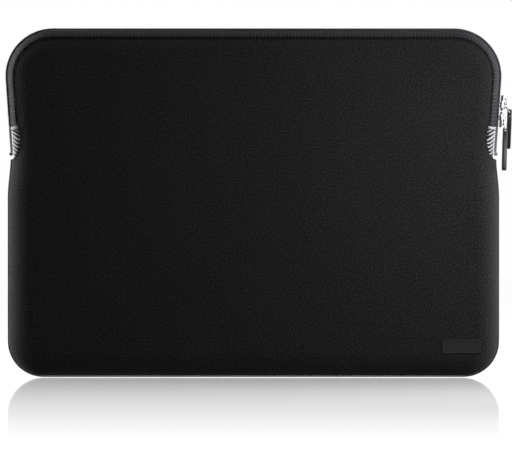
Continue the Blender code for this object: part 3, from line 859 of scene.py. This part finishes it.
class SLEEVE_OT_tapes(bpy.types.Operator):
    """Build the woven zip tapes"""

    bl_idname = "sleeve.tapes"
    bl_label = "Zip tapes"

    def execute(self, context):
        shell = context.scene.sleeve_shell
        zips = context.scene.sleeve_zip
        outline = Outline(shell)
        stations = outline.arch(FOLD_HEIGHT + 0.0002)
        lengths = path_lengths(stations)
        inner = outline.reach_angle(zips.tape_edge)
        for side, name in ((FRONT, "tape_front"), (BACK, "tape_back")):
            columns = []
            widths = []
            for place, along in zip(stations, lengths):
                outer = outline.roll_angle(place.edge) - outline.turn(0.0001)
                angles = spaced(inner, outer, 14)
                width = (outer - inner) / outline.turn(1.0)
                widths.append(width)
                top = []
                bottom = []
                for k, angle in enumerate(angles):
                    share = k / 14
                    ridge = zips.ridge * math.exp(-((share - 0.14) / 0.07) ** 2)
                    tuck = 0.0016 * smooth((share - 0.84) / 0.16)
                    depth = 0.0003 - ridge + tuck
                    uv = (along, share * width)
                    top.append((outline.skin(place, angle, depth, side), uv))
                    bottom.append((outline.skin(place, angle, 0.0003 + tuck + zips.tape_thickness, side), uv))
                columns.append(top + bottom[::-1])
            piece = add_piece(context, name, strip_mesh(name, columns), "tape")
            mean = sum(widths) / len(widths)
            mean * lengths[-1]
            if side == FRONT:
                bend_with_mouth(context, piece)
                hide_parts("zip_tape_front")
            else:
                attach(piece, SHELL)
                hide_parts("zip_tape_back")
        return {"FINISHED"}


def coil_points(stations, side, zips, inner, phase):
    """Flattened helix along the zip, from its inner edge to its outer one."""
    per_turn = 10
    half = (zips.coil_outer - inner) / 2
    centre = (zips.coil_outer + inner) / 2
    deep = zips.coil_depth / 2
    points = []
    for k, place in enumerate(walk(stations, zips.pitch / per_turn)):
        angle = 2 * math.pi * (k / per_turn + phase)
        y = side * (centre - half * math.cos(angle))
        inset = zips.coil_wire + deep - (deep - zips.coil_wire / 2) * math.sin(angle)
        points.append(at_rim(place, inset, y))
    return points


class SLEEVE_OT_teeth(bpy.types.Operator):
    """Build the two rows of coil teeth and the closed tails beside the gussets"""

    bl_idname = "sleeve.teeth"
    bl_label = "Zip teeth"

    def execute(self, context):
        zips = context.scene.sleeve_zip
        outline = Outline(context.scene.sleeve_shell)
        stations = outline.arch(FOLD_HEIGHT + 0.0002)
        for side, name, node in ((FRONT, "coil_front", "zip_teeth_front"),
                                 (BACK, "coil_back", "zip_teeth_back")):
            helix = coil_points(stations, side, zips, -zips.coil_overlap, 0.0 if side == FRONT else 0.5)
            core_y = side * (zips.coil_outer * 0.62)
            core = [at_rim(place, zips.coil_depth * 0.6, core_y) for place in walk(stations, 0.003)]
            mesh = wires_mesh(name, [helix], zips.coil_wire)
            piece = add_piece(context, name, mesh, "coil")
            cord = add_piece(context, name + "_core", wires_mesh(name + "_core", [core], 0.00042),
                             "thread")
            for item in (piece, cord):
                if side == FRONT:
                    bend_with_mouth(context, item)
                else:
                    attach(item, SHELL)
            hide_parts(node)
        self.build_tails(context, outline, zips)
        return {"FINISHED"}

    def build_tails(self, context, outline, zips):
        """Closed teeth below the fold, down to the metal stops."""
        bottom = STOP_HIGH.z + 0.0003
        for hand, name, node in ((RIGHT, "tail_right", "zip_tail_right"),
                                 (LEFT, "tail_left", "zip_tail_left")):
            heights = spaced(bottom, FOLD_HEIGHT - 0.0002, 8)
            stations = [outline.side(z) for z in heights]
            if hand == LEFT:
                stations = mirrored(stations)[::-1]
            runs = [coil_points(stations, side, zips, zips.tail_slit, phase)
                    for side, phase in ((FRONT, 0.0), (BACK, 0.5))]
            piece = add_piece(context, name, wires_mesh(name, runs, zips.coil_wire), "coil")
            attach(piece, SHELL)
            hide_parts(node)


def run_place(link_joint, pivot_reach):
    """Frame on the zip's straight run at a slider: X outward, Y to the back, Z up the run."""
    out = Vector((0.0, 1.0, 0.0)).cross(RUN_UP)
    across = RUN_UP.cross(out)
    place = Matrix((out, across, RUN_UP)).transposed().to_4x4()
    place.translation = Vector(JOINTS[link_joint]["pos_m"]) - out * pivot_reach
    return place


def add_block(shape, low, high, edge=0.0):
    """Add a box, with rounded edges, to a bmesh."""
    size = [b - a for a, b in zip(low, high)]
    centre = [(a + b) / 2 for a, b in zip(low, high)]
    made = bmesh.ops.create_cube(shape, size=1.0,
                                 matrix=Matrix.Translation(centre) @ Matrix.Diagonal((*size, 1.0)))
    if edge:
        edges = {e for vert in made["verts"] for e in vert.link_edges}
        bmesh.ops.bevel(shape, geom=list(edges), offset=edge, segments=3, profile=0.5,
                        affect="EDGES")


def slider_plate(shape, zips, nose, low, high, shrink, edge):
    """Add one plate of a slider: wide shoulders at its nose, narrow at its tail."""
    half = zips.slider_length / 2 - shrink
    wide = zips.nose_half_width - shrink
    slim = zips.tail_half_width - shrink
    profile = [(0.0, -half), (slim * 0.75, -half), (slim, -half * 0.86), (slim, -half * 0.15),
               (wide, half * 0.42), (wide, half * 0.7), (wide * 0.72, half * 0.93), (wide * 0.3, half),
               (0.0, half)]
    ring = profile + [(-y, u) for y, u in profile[-2:0:-1]]
    lower = [shape.verts.new((low, y, nose * u)) for y, u in ring]
    upper = [shape.verts.new((high, y, nose * u)) for y, u in ring]
    faces = [shape.faces.new(lower), shape.faces.new(upper)]
    for k in range(len(ring)):
        j = (k + 1) % len(ring)
        faces.append(shape.faces.new((lower[k], lower[j], upper[j], upper[k])))
    bmesh.ops.recalc_face_normals(shape, faces=faces)
    rim = {e for face in faces[:2] for e in face.edges}
    bmesh.ops.bevel(shape, geom=list(rim), offset=edge, segments=3, profile=0.5, affect="EDGES")


class SLEEVE_OT_sliders(bpy.types.Operator):
    """Build the two chromed sliders"""

    bl_idname = "sleeve.sliders"
    bl_label = "Sliders"

    def execute(self, context):
        zips = context.scene.sleeve_zip
        for name, joint, body, nose in (("lower_runner_casting", "lower_link_swing", "lower_runner", 1),
                                        ("upper_runner_casting", "upper_link_swing", "upper_runner", -1)):
            shape = bmesh.new()
            slider_plate(shape, zips, nose, 0.0003, 0.0003 + zips.plate, 0.0, 0.00045)
            inner_top = -zips.coil_depth - 0.0006
            slider_plate(shape, zips, nose, inner_top - 0.0006, inner_top, 0.0012, 0.00015)
            ends = sorted((nose * -0.0004, nose * 0.0026))
            add_block(shape, (inner_top - 0.0003, -0.0005, ends[0]), (0.0008, 0.0005, ends[1]))
            mesh = write_mesh(name, shape, 50.0)
            arch = []
            for a in spaced(0.0, math.pi, 28):
                cosine = math.cos(a)
                u = math.copysign(abs(cosine) ** 0.75, cosine) * zips.bridge_span
                arch.append((0.0010 + (zips.bridge_height - 0.0010) * math.sin(a) ** 0.85, 0.0, u))
            bridge = wires_mesh(name + "_bridge", [arch], zips.bridge_wire, resolution=3)
            joined = bmesh.new()
            joined.from_mesh(mesh)
            joined.from_mesh(bridge)
            bpy.data.meshes.remove(bridge)
            bpy.data.meshes.remove(mesh)
            piece = add_piece(context, name, write_mesh(name, joined, 50.0), "chrome")
            piece.matrix_world = run_place(joint, zips.pivot_reach)
            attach(piece, body)
            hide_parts(body.replace("_runner", "_slider"))
        return {"FINISHED"}


def pull_place(joint, point):
    """Frame at a hinge of a pull: Y along its bar, Z up the pull, X outward."""
    bar = -Vector(JOINTS[joint]["axis"]).normalized()
    top = Vector(point[0])
    foot = Vector(point[1])
    up = (top - foot).normalized()
    out = bar.cross(up).normalized()
    place = Matrix((out, bar, up)).transposed().to_4x4()
    place.translation = top
    return place


class SLEEVE_OT_pulls(bpy.types.Operator):
    """Build the wire links and the moulded pull tabs"""

    bl_idname = "sleeve.pulls"
    bl_label = "Pulls"

    def execute(self, context):
        zips = context.scene.sleeve_zip
        for which in ("lower", "upper"):
            link_joint, tab_joint = which + "_link_swing", which + "_tab_swing"
            top = JOINTS[link_joint]["pos_m"]
            foot = JOINTS[tab_joint]["pos_m"]
            self.build_link(context, zips, which, pull_place(link_joint, (top, foot)))
            self.build_tab(context, zips, which, foot, JOINTS[tab_joint]["axis"])
        return {"FINISHED"}

    def build_link(self, context, zips, which, place):
        """Closed wire link between the bridge and the tab."""
        arm, corner, long = zips.link_arm, zips.link_corner, zips.link_length
        corners = ((arm - corner, -long + corner, -math.pi / 2), (arm - corner, -corner, 0.0),
                   (corner - arm, -corner, math.pi / 2), (corner - arm, -long + corner, math.pi))
        loop = []
        for y, z, start in corners:
            for a in spaced(start, start + math.pi / 2, 8):
                loop.append((0.0, y + corner * math.cos(a), z + corner * math.sin(a)))
        name = which + "_wire_link"
        mesh = wires_mesh(name, [loop], zips.link_wire, cyclic=True, resolution=3)
        piece = add_piece(context, name, mesh, "chrome")
        piece.matrix_world = place
        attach(piece, which + "_ring")
        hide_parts(which + "_link")

    def build_tab(self, context, zips, which, foot, axis):
        """Moulded tab with a narrow eye, a rounded end and a shallow recess on each broad face."""
        node_low, node_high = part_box(which + "_tab")
        middle = (node_low + node_high) / 2
        bar = -Vector(axis).normalized()
        eye = Vector(foot)
        up = eye - middle
        up = (up - bar * up.dot(bar)).normalized()
        out = bar.cross(up)
        place = Matrix((out, bar, up)).transposed().to_4x4()
        place.translation = eye
        name = which + "_pull_tab"
        shape = bmesh.new()
        half = zips.tab_thickness / 2
        wide = zips.tab_half_width
        neck = zips.eye_half_width
        end = -zips.tab_length
        soft = 0.0016
        outline = [(0.0, half), (neck * 0.7, half * 0.92), (neck, half * 0.55), (neck, -half * 1.05),
                   (wide * 0.85, -half * 1.75), (wide, -half * 2.4), (wide, end + soft),
                   (wide * 0.82, end + soft * 0.35), (wide * 0.4, end), (0.0, end)]
        ring = outline + [(-y, z) for y, z in outline[-2:0:-1]]
        front = [shape.verts.new((-half, y, z)) for y, z in ring]
        back = [shape.verts.new((half, y, z)) for y, z in ring]
        broad = [shape.faces.new(front), shape.faces.new(back)]
        for k in range(len(ring)):
            j = (k + 1) % len(ring)
            shape.faces.new((front[k], front[j], back[j], back[k]))
        bmesh.ops.recalc_face_normals(shape, faces=shape.faces)
        rim = {e for face in broad for e in face.edges}
        bmesh.ops.bevel(shape, geom=list(rim), offset=zips.tab_edge, segments=4, profile=0.5,
                        affect="EDGES")
        piece = add_piece(context, name, write_mesh(name, shape, 35.0), "rubber")
        cutters = []
        hole = bmesh.new()
        bmesh.ops.create_cone(hole, cap_ends=True, segments=32, radius1=zips.eye_hole,
                              radius2=zips.eye_hole, depth=4 * wide,
                              matrix=Matrix.Rotation(math.pi / 2, 4, "X"))
        cutters.append(hole)
        for x in (-half - 0.0006, half + 0.0006):
            recess = bmesh.new()
            add_block(recess, (x - 0.0008, -wide * 0.62, end + 0.0022),
                      (x + 0.0008, wide * 0.62, -half * 3.4), 0.0005)
            cutters.append(recess)
        holders = []
        for cutter in cutters:
            holder = bpy.data.objects.new(name + "_cut", write_mesh(name + "_cut", cutter))
            context.collection.objects.link(holder)
            holders.append(holder)
            cut = piece.modifiers.new("cut", "BOOLEAN")
            cut.object = holder
            cut.operation = "DIFFERENCE"
        applied(context, piece)
        for holder in holders:
            bpy.data.objects.remove(holder)
        piece.data.shade_smooth()
        piece.data.set_sharp_from_angle(angle=math.radians(35.0))
        piece.matrix_world = place
        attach(piece, which + "_puller")
        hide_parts(which + "_tab")


class SLEEVE_OT_stops(bpy.types.Operator):
    """Finish the metal stops at the zip's ends"""

    bl_idname = "sleeve.stops"
    bl_label = "End stops"

    def execute(self, context):
        for side in ("left", "right"):
            stop = frame["nodes"]["end_stop_" + side]
            stop.data.materials.clear()
            stop.data.materials.append(finish_of(context, "coil"))
        return {"FINISHED"}


# Gussets and stitching

class SLEEVE_OT_gussets(bpy.types.Operator):
    """Build the stretch gussets with their hems"""

    bl_idname = "sleeve.gussets"
    bl_label = "Gussets"

    def execute(self, context):
        outline = Outline(context.scene.sleeve_shell)
        for hand, word in ((RIGHT, "right"), (LEFT, "left")):
            self.build_gusset(context, outline, hand, word)
            self.build_hem(context, outline, hand, word)
        return {"FINISHED"}

    def section(self, outline, z, hand, lift, inner=False):
        """Points across a gusset, from the front panel's edge to the back panel's edge."""
        place = outline.side(z)
        edge = outline.roll_angle(place.edge) - outline.turn(0.0001)
        steps = 30
        points = []
        for k in range(steps + 1):
            share = 2.0 * k / steps - 1.0
            angle = abs(share) * edge
            # The fabric dips in the middle, where the teeth and the slider's inner plate run.
            reach = outline.s.half_depth * math.sin(angle)
            dip = outline.s.groove_depth * smooth((outline.s.groove_reach - reach) / 0.0012)
            tuck = 0.0009 * smooth((abs(share) - 0.8) / 0.2)
            depth = 0.0005 + dip + tuck - lift
            side = FRONT if share < 0 else BACK
            point = outline.skin(place, angle, depth + (0.0006 if inner else 0.0), side)
            across = share * edge / outline.turn(1.0)
            points.append((Vector((hand * point.x, point.y, point.z)), (across, z)))
        return points

    def build_gusset(self, context, outline, hand, word):
        bottom = outline.tip + 0.0004
        heights = [bottom + (FOLD_HEIGHT - 0.0002 - bottom) * t ** 1.4 for t in spaced(0.0, 1.0, 22)]
        columns = []
        for z in heights:
            top = self.section(outline, z, hand, 0.0)
            under = self.section(outline, z, hand, 0.0, True)
            columns.append(top + under[::-1])
        name = "gusset_fabric_" + word
        mesh = strip_mesh(name, columns)
        self.mark_edges(mesh, outline)
        piece = add_piece(context, name, mesh, "gusset")
        width = 2 * max(abs(uv[0]) for column in columns for _, uv in column)
        area = sum(face.area for face in mesh.polygons) / 2
        tall = heights[-1] - heights[0]
        tall * 1.05
        min(area, width * tall)
        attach(piece, SHELL)
        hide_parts("gusset_" + word)

    def mark_edges(self, mesh, outline):
        """Store how far each point lies from the panels' edges, 0 at an edge and 1 in the middle."""
        attribute = mesh.attributes.new("from_edge", "FLOAT", "POINT")
        for vert, item in zip(mesh.vertices, attribute.data):
            place = outline.side(vert.co.z)
            edge = outline.roll_angle(place.edge)
            reach = outline.s.half_depth * math.sin(edge)
            item.value = 1.0 - min(abs(vert.co.y) / reach, 1.0)

    def build_hem(self, context, outline, hand, word):
        """Folded hem along a gusset's top, with its dark row of stitching under it."""
        columns = []
        top = FOLD_HEIGHT - 0.0002
        for z, lift in ((top - 0.0018, 0.0001), (top - 0.0016, 0.0004), (top - 0.0009, 0.0005),
                        (top - 0.0002, 0.0004), (top, 0.0001)):
            columns.append([point for point, _ in self.section(outline, z, hand, lift)])
        name = "gusset_hem_" + word
        shape = bmesh.new()
        rows = [[shape.verts.new(point) for point in column] for column in columns]
        for first, second in zip(rows, rows[1:]):
            for k in range(len(first) - 1):
                shape.faces.new((first[k], first[k + 1], second[k + 1], second[k]))
        mesh = bpy.data.meshes.new(name)
        shape.to_mesh(mesh)
        shape.free()
        piece = add_piece(context, name, mesh, "hem")
        solid = piece.modifiers.new("thickness", "SOLIDIFY")
        solid.thickness = 0.0003
        applied(context, piece)
        piece.data.shade_smooth()
        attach(piece, SHELL)
        row = [point for point, _ in self.section(outline, top - 0.0022, hand, 0.0002)]
        bar_name = "hem_stitch_" + word
        bar = add_piece(context, bar_name, wires_mesh(bar_name, [row], 0.0003), "thread")
        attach(bar, SHELL)


class SLEEVE_OT_stitching(bpy.types.Operator):
    """Build the overlocked outer seam and the zigzag rows beside the zip"""

    bl_idname = "sleeve.stitching"
    bl_label = "Stitching"

    def execute(self, context):
        shell = context.scene.sleeve_shell
        stitch = context.scene.sleeve_stitch
        outline = Outline(shell)
        self.build_seam(context, outline, stitch)
        start = outline.tip + 0.0006
        for side, name, node in ((FRONT, "zigzag_front", "edge_stitch_front"),
                                 (BACK, "zigzag_back", "edge_stitch_back")):
            points = []
            stations = walk(outline.arch(start), stitch.zigzag_pitch / 4)
            for k, place in enumerate(stations):
                phase = (k % 4) / 4
                swing = abs(2.0 * phase - 1.0)
                edge = outline.roll_angle(place.edge)
                inward = stitch.zigzag_in * swing - stitch.zigzag_out * (1.0 - swing)
                lift = stitch.thread * (0.9 if 0.2 < swing < 0.8 else 0.1)
                points.append(outline.skin(place, edge + outline.turn(inward), -lift, side))
            piece = add_piece(context, name, wires_mesh(name, [points], stitch.thread), "thread")
            if side == FRONT:
                bend_with_mouth(context, piece)
            else:
                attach(piece, SHELL)
            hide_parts(node)
        return {"FINISHED"}

    def build_seam(self, context, outline, stitch):
        """Overlock stitches wrapped over the outer seam, with the cord that links them."""
        path = walk(outline.cradle(outline.tip - 0.0003), stitch.seam_pitch)
        runs = []
        for first, second in zip(path, path[1:]):
            loop = []
            for share in spaced(-1.0, 1.0, 8):
                t = 0.5 + 0.32 * share
                mixed = [p * (1.0 - t) + q * t for p, q in zip(first, second)]
                place = Station(*mixed)
                crown = stitch.seam_wire + 0.00005
                inset = crown + (outline.s.rim + 0.0002) * abs(share) ** 3
                loop.append(at_rim(place, inset, stitch.seam_reach * share))
            runs.append(loop)
        mesh = wires_mesh("overlock_thread", runs, stitch.seam_wire)
        piece = add_piece(context, "overlock_thread", mesh, "thread")
        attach(piece, SHELL)
        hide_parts("seam_thread")
        for y, word in ((-0.0009, "front"), (0.0009, "back")):
            name = "overlock_cord_" + word
            cord = [at_rim(place, 0.00075, y) for place in path]
            spine = add_piece(context, name, wires_mesh(name, [cord], 0.0003), "thread")
            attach(spine, SHELL)


class SLEEVE_OT_badge(bpy.types.Operator):
    """Build the blank badge low on the front"""

    bl_idname = "sleeve.badge"
    bl_label = "Badge"

    def execute(self, context):
        centre = (BADGE_LOW + BADGE_HIGH) / 2
        half_x = (BADGE_HIGH.x - BADGE_LOW.x) / 2
        half_z = (BADGE_HIGH.z - BADGE_LOW.z) / 2
        corner = 0.0012
        face = BADGE_LOW.y
        foot = -context.scene.sleeve_shell.half_depth - 0.0001
        shape = bmesh.new()
        rings = []
        # A raised border, then a slightly sunken field.
        steps = ((0.0, foot), (0.0, face + 0.00025), (0.0001, face + 0.00006), (0.0003, face),
                 (0.0006, face), (0.0008, face + 0.0001), (0.0009, face + 0.00025))
        for inset, y in steps:
            ring = []
            radius = max(corner - inset, 0.0003)
            for quarter, (sx, sz) in enumerate(((1, 1), (-1, 1), (-1, -1), (1, -1))):
                cx = centre.x + sx * (half_x - inset - radius)
                cz = centre.z + sz * (half_z - inset - radius)
                for a in spaced(quarter * math.pi / 2, (quarter + 1) * math.pi / 2, 6):
                    ring.append(shape.verts.new((cx + radius * math.cos(a), y, cz + radius * math.sin(a))))
            rings.append(ring)
        for first, second in zip(rings, rings[1:]):
            for k in range(len(first)):
                j = (k + 1) % len(first)
                shape.faces.new((first[k], first[j], second[j], second[k]))
        shape.faces.new(rings[0])
        shape.faces.new(rings[-1])
        piece = add_piece(context, "badge_plate", write_mesh("badge_plate", shape, 50.0), "badge")
        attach(piece, SHELL)
        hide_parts("blank_badge")
        return {"FINISHED"}


# Stage

Lamp = namedtuple("Lamp", "name place target size watts")
MIDDLE = (0.0, 0.0, 0.116)
STRIP = (0.5, 0.9)
LAMPS = (
    Lamp("left_strip", (-0.75, 0.20, 0.25), MIDDLE, STRIP, 7.0),
    Lamp("right_strip", (0.75, 0.10, 0.25), MIDDLE, STRIP, 5.0),
    Lamp("right_fill", (0.24, -0.24, 0.19), (0.13, 0.0, 0.16), (0.10, 0.14), 0.55),
    Lamp("overhead", (0.0, 0.1, 1.1), (0.0, 0.0, 0.0), (1.2, 0.9), 0.1),
)


def add_light(context, lamp):
    """Soft rectangular light that faces a point and isn't seen itself."""
    light = bpy.data.lights.new(lamp.name, "AREA")
    light.shape = "RECTANGLE"
    light.size, light.size_y = lamp.size
    light.energy = lamp.watts
    item = bpy.data.objects.new(lamp.name, light)
    context.collection.objects.link(item)
    item.location = lamp.place
    facing = Vector(lamp.target) - Vector(lamp.place)
    item.rotation_euler = facing.to_track_quat("-Z", "Y").to_euler()
    item.visible_camera = False


class SLEEVE_OT_stage(bpy.types.Operator):
    """Build the floor, the lights and the camera"""

    bl_idname = "sleeve.stage"
    bl_label = "Stage"

    def execute(self, context):
        scene = context.scene
        scene.view_settings.view_transform = "Standard"
        self.build_world(scene)
        self.build_floor(context)
        for lamp in LAMPS:
            add_light(context, lamp)
        self.build_camera(context)
        return {"FINISHED"}

    def build_world(self, scene):
        """White backdrop behind the sleeve that falls off to a dim room on the camera's side."""
        world = bpy.data.worlds.new("studio")
        sky = Nodes(world)
        direction = sky.make("ShaderNodeTexCoord", {}, {})
        away = sky.parts(direction)[1]
        up = sky.make("ShaderNodeSeparateXYZ", {}, {0: direction}, 2)
        background = sky.tree.nodes["Background"]
        sky.plug(background.inputs["Color"], (1.0, 1.0, 1.0))
        glow = sky.step(away, -0.2, 0.4) * (1.0 - sky.step(sky.size(up), 0.1, 0.5) * 0.95)
        sky.plug(background.inputs["Strength"], glow * 0.89 + 0.11)
        scene.world = world

    def build_floor(self, context):
        """Pale floor that mirrors the sleeve softly near its foot."""
        shape = bmesh.new()
        bmesh.ops.create_grid(shape, x_segments=1, y_segments=1, size=4.0)
        mesh = write_mesh("floor", shape)
        floor = bpy.data.objects.new("floor", mesh)
        context.collection.objects.link(floor)
        floor.location.z = SEAM_LOW.z - 0.0001
        recipe = Recipe("floor_gloss", roughness=0.5)
        stage = context.scene.sleeve_stage
        colour = context.scene.sleeve_colours.floor
        recipe.set(Base_Color=colour, Specular_IOR_Level=0.0, Emission_Color=(1.0, 1.0, 1.0),
                   Emission_Strength=stage.glow)
        gloss = recipe.make("ShaderNodeBsdfGlossy", {},
                            {"Roughness": 0.03, "Color": (1.0, 1.0, 1.0)})
        away = recipe.parts(recipe.place())[1]
        near = recipe.make("ShaderNodeMapRange", {},
                           {"Value": recipe.size(away), "From Min": 0.0,
                            "From Max": stage.mirror_reach, "To Min": stage.mirror, "To Max": 0.0})
        surface = recipe.make("ShaderNodeMixShader", {},
                              {0: near, 1: Wire(recipe, recipe.shader.outputs[0]), 2: gloss})
        recipe.plug(recipe.tree.nodes["Material Output"].inputs["Surface"], surface)
        floor.data.materials.append(recipe.material)
        # The floor's glow is for the camera, so the sleeve's dark faces keep their contrast.
        floor.visible_diffuse = False
        floor.visible_glossy = False

    def build_camera(self, context):
        """Camera square to the front, a little below the sleeve's middle."""
        camera = bpy.data.cameras.new("camera")
        camera.sensor_width = 36.0
        stage = context.scene.sleeve_stage
        camera.lens = stage.camera_distance * camera.sensor_width / stage.view_width
        camera.clip_start = 0.05
        holder = bpy.data.objects.new("camera", camera)
        context.collection.objects.link(holder)
        holder.location = (stage.camera_aside, -stage.camera_distance, stage.camera_height)
        holder.rotation_euler = (math.pi / 2, 0.0, 0.0)
        context.scene.camera = holder


class SLEEVE_PT_sidebar(bpy.types.Panel):
    """Sidebar with one button for each group of pieces"""

    bl_label = "Laptop Sleeve"
    bl_idname = "SLEEVE_PT_sidebar"
    bl_space_type = "VIEW_3D"
    bl_region_type = "UI"
    bl_category = "Sleeve"

    def draw(self, context):
        for operator in OPERATORS:
            self.layout.operator(operator.bl_idname)
        for group in SETTINGS:
            settings = getattr(context.scene, group)
            box = self.layout.box()
            for name in settings.__annotations__:
                box.prop(settings, name)


SETTINGS = {
    "sleeve_shell": SleeveShellSettings,
    "sleeve_zip": SleeveZipSettings,
    "sleeve_stitch": SleeveStitchSettings,
    "sleeve_colours": SleeveColourSettings,
    "sleeve_stage": SleeveStageSettings,
}
OPERATORS = (
    SLEEVE_OT_panels,
    SLEEVE_OT_linings,
    SLEEVE_OT_tapes,
    SLEEVE_OT_teeth,
    SLEEVE_OT_sliders,
    SLEEVE_OT_pulls,
    SLEEVE_OT_stops,
    SLEEVE_OT_gussets,
    SLEEVE_OT_stitching,
    SLEEVE_OT_badge,
    SLEEVE_OT_stage,
)


def register():
    for item in (*SETTINGS.values(), *OPERATORS, SLEEVE_PT_sidebar):
        bpy.utils.register_class(item)
    for name, settings in SETTINGS.items():
        setattr(bpy.types.Scene, name, PointerProperty(type=settings))


def unregister():
    for name in SETTINGS:
        delattr(bpy.types.Scene, name)
    for item in (SLEEVE_PT_sidebar, *reversed(OPERATORS), *reversed(tuple(SETTINGS.values()))):
        bpy.utils.unregister_class(item)


def main():
    register()
    for operator in OPERATORS:
        group, name = operator.bl_idname.split(".")
        getattr(getattr(bpy.ops, group), name)()


if __name__ == "__main__":
    main()
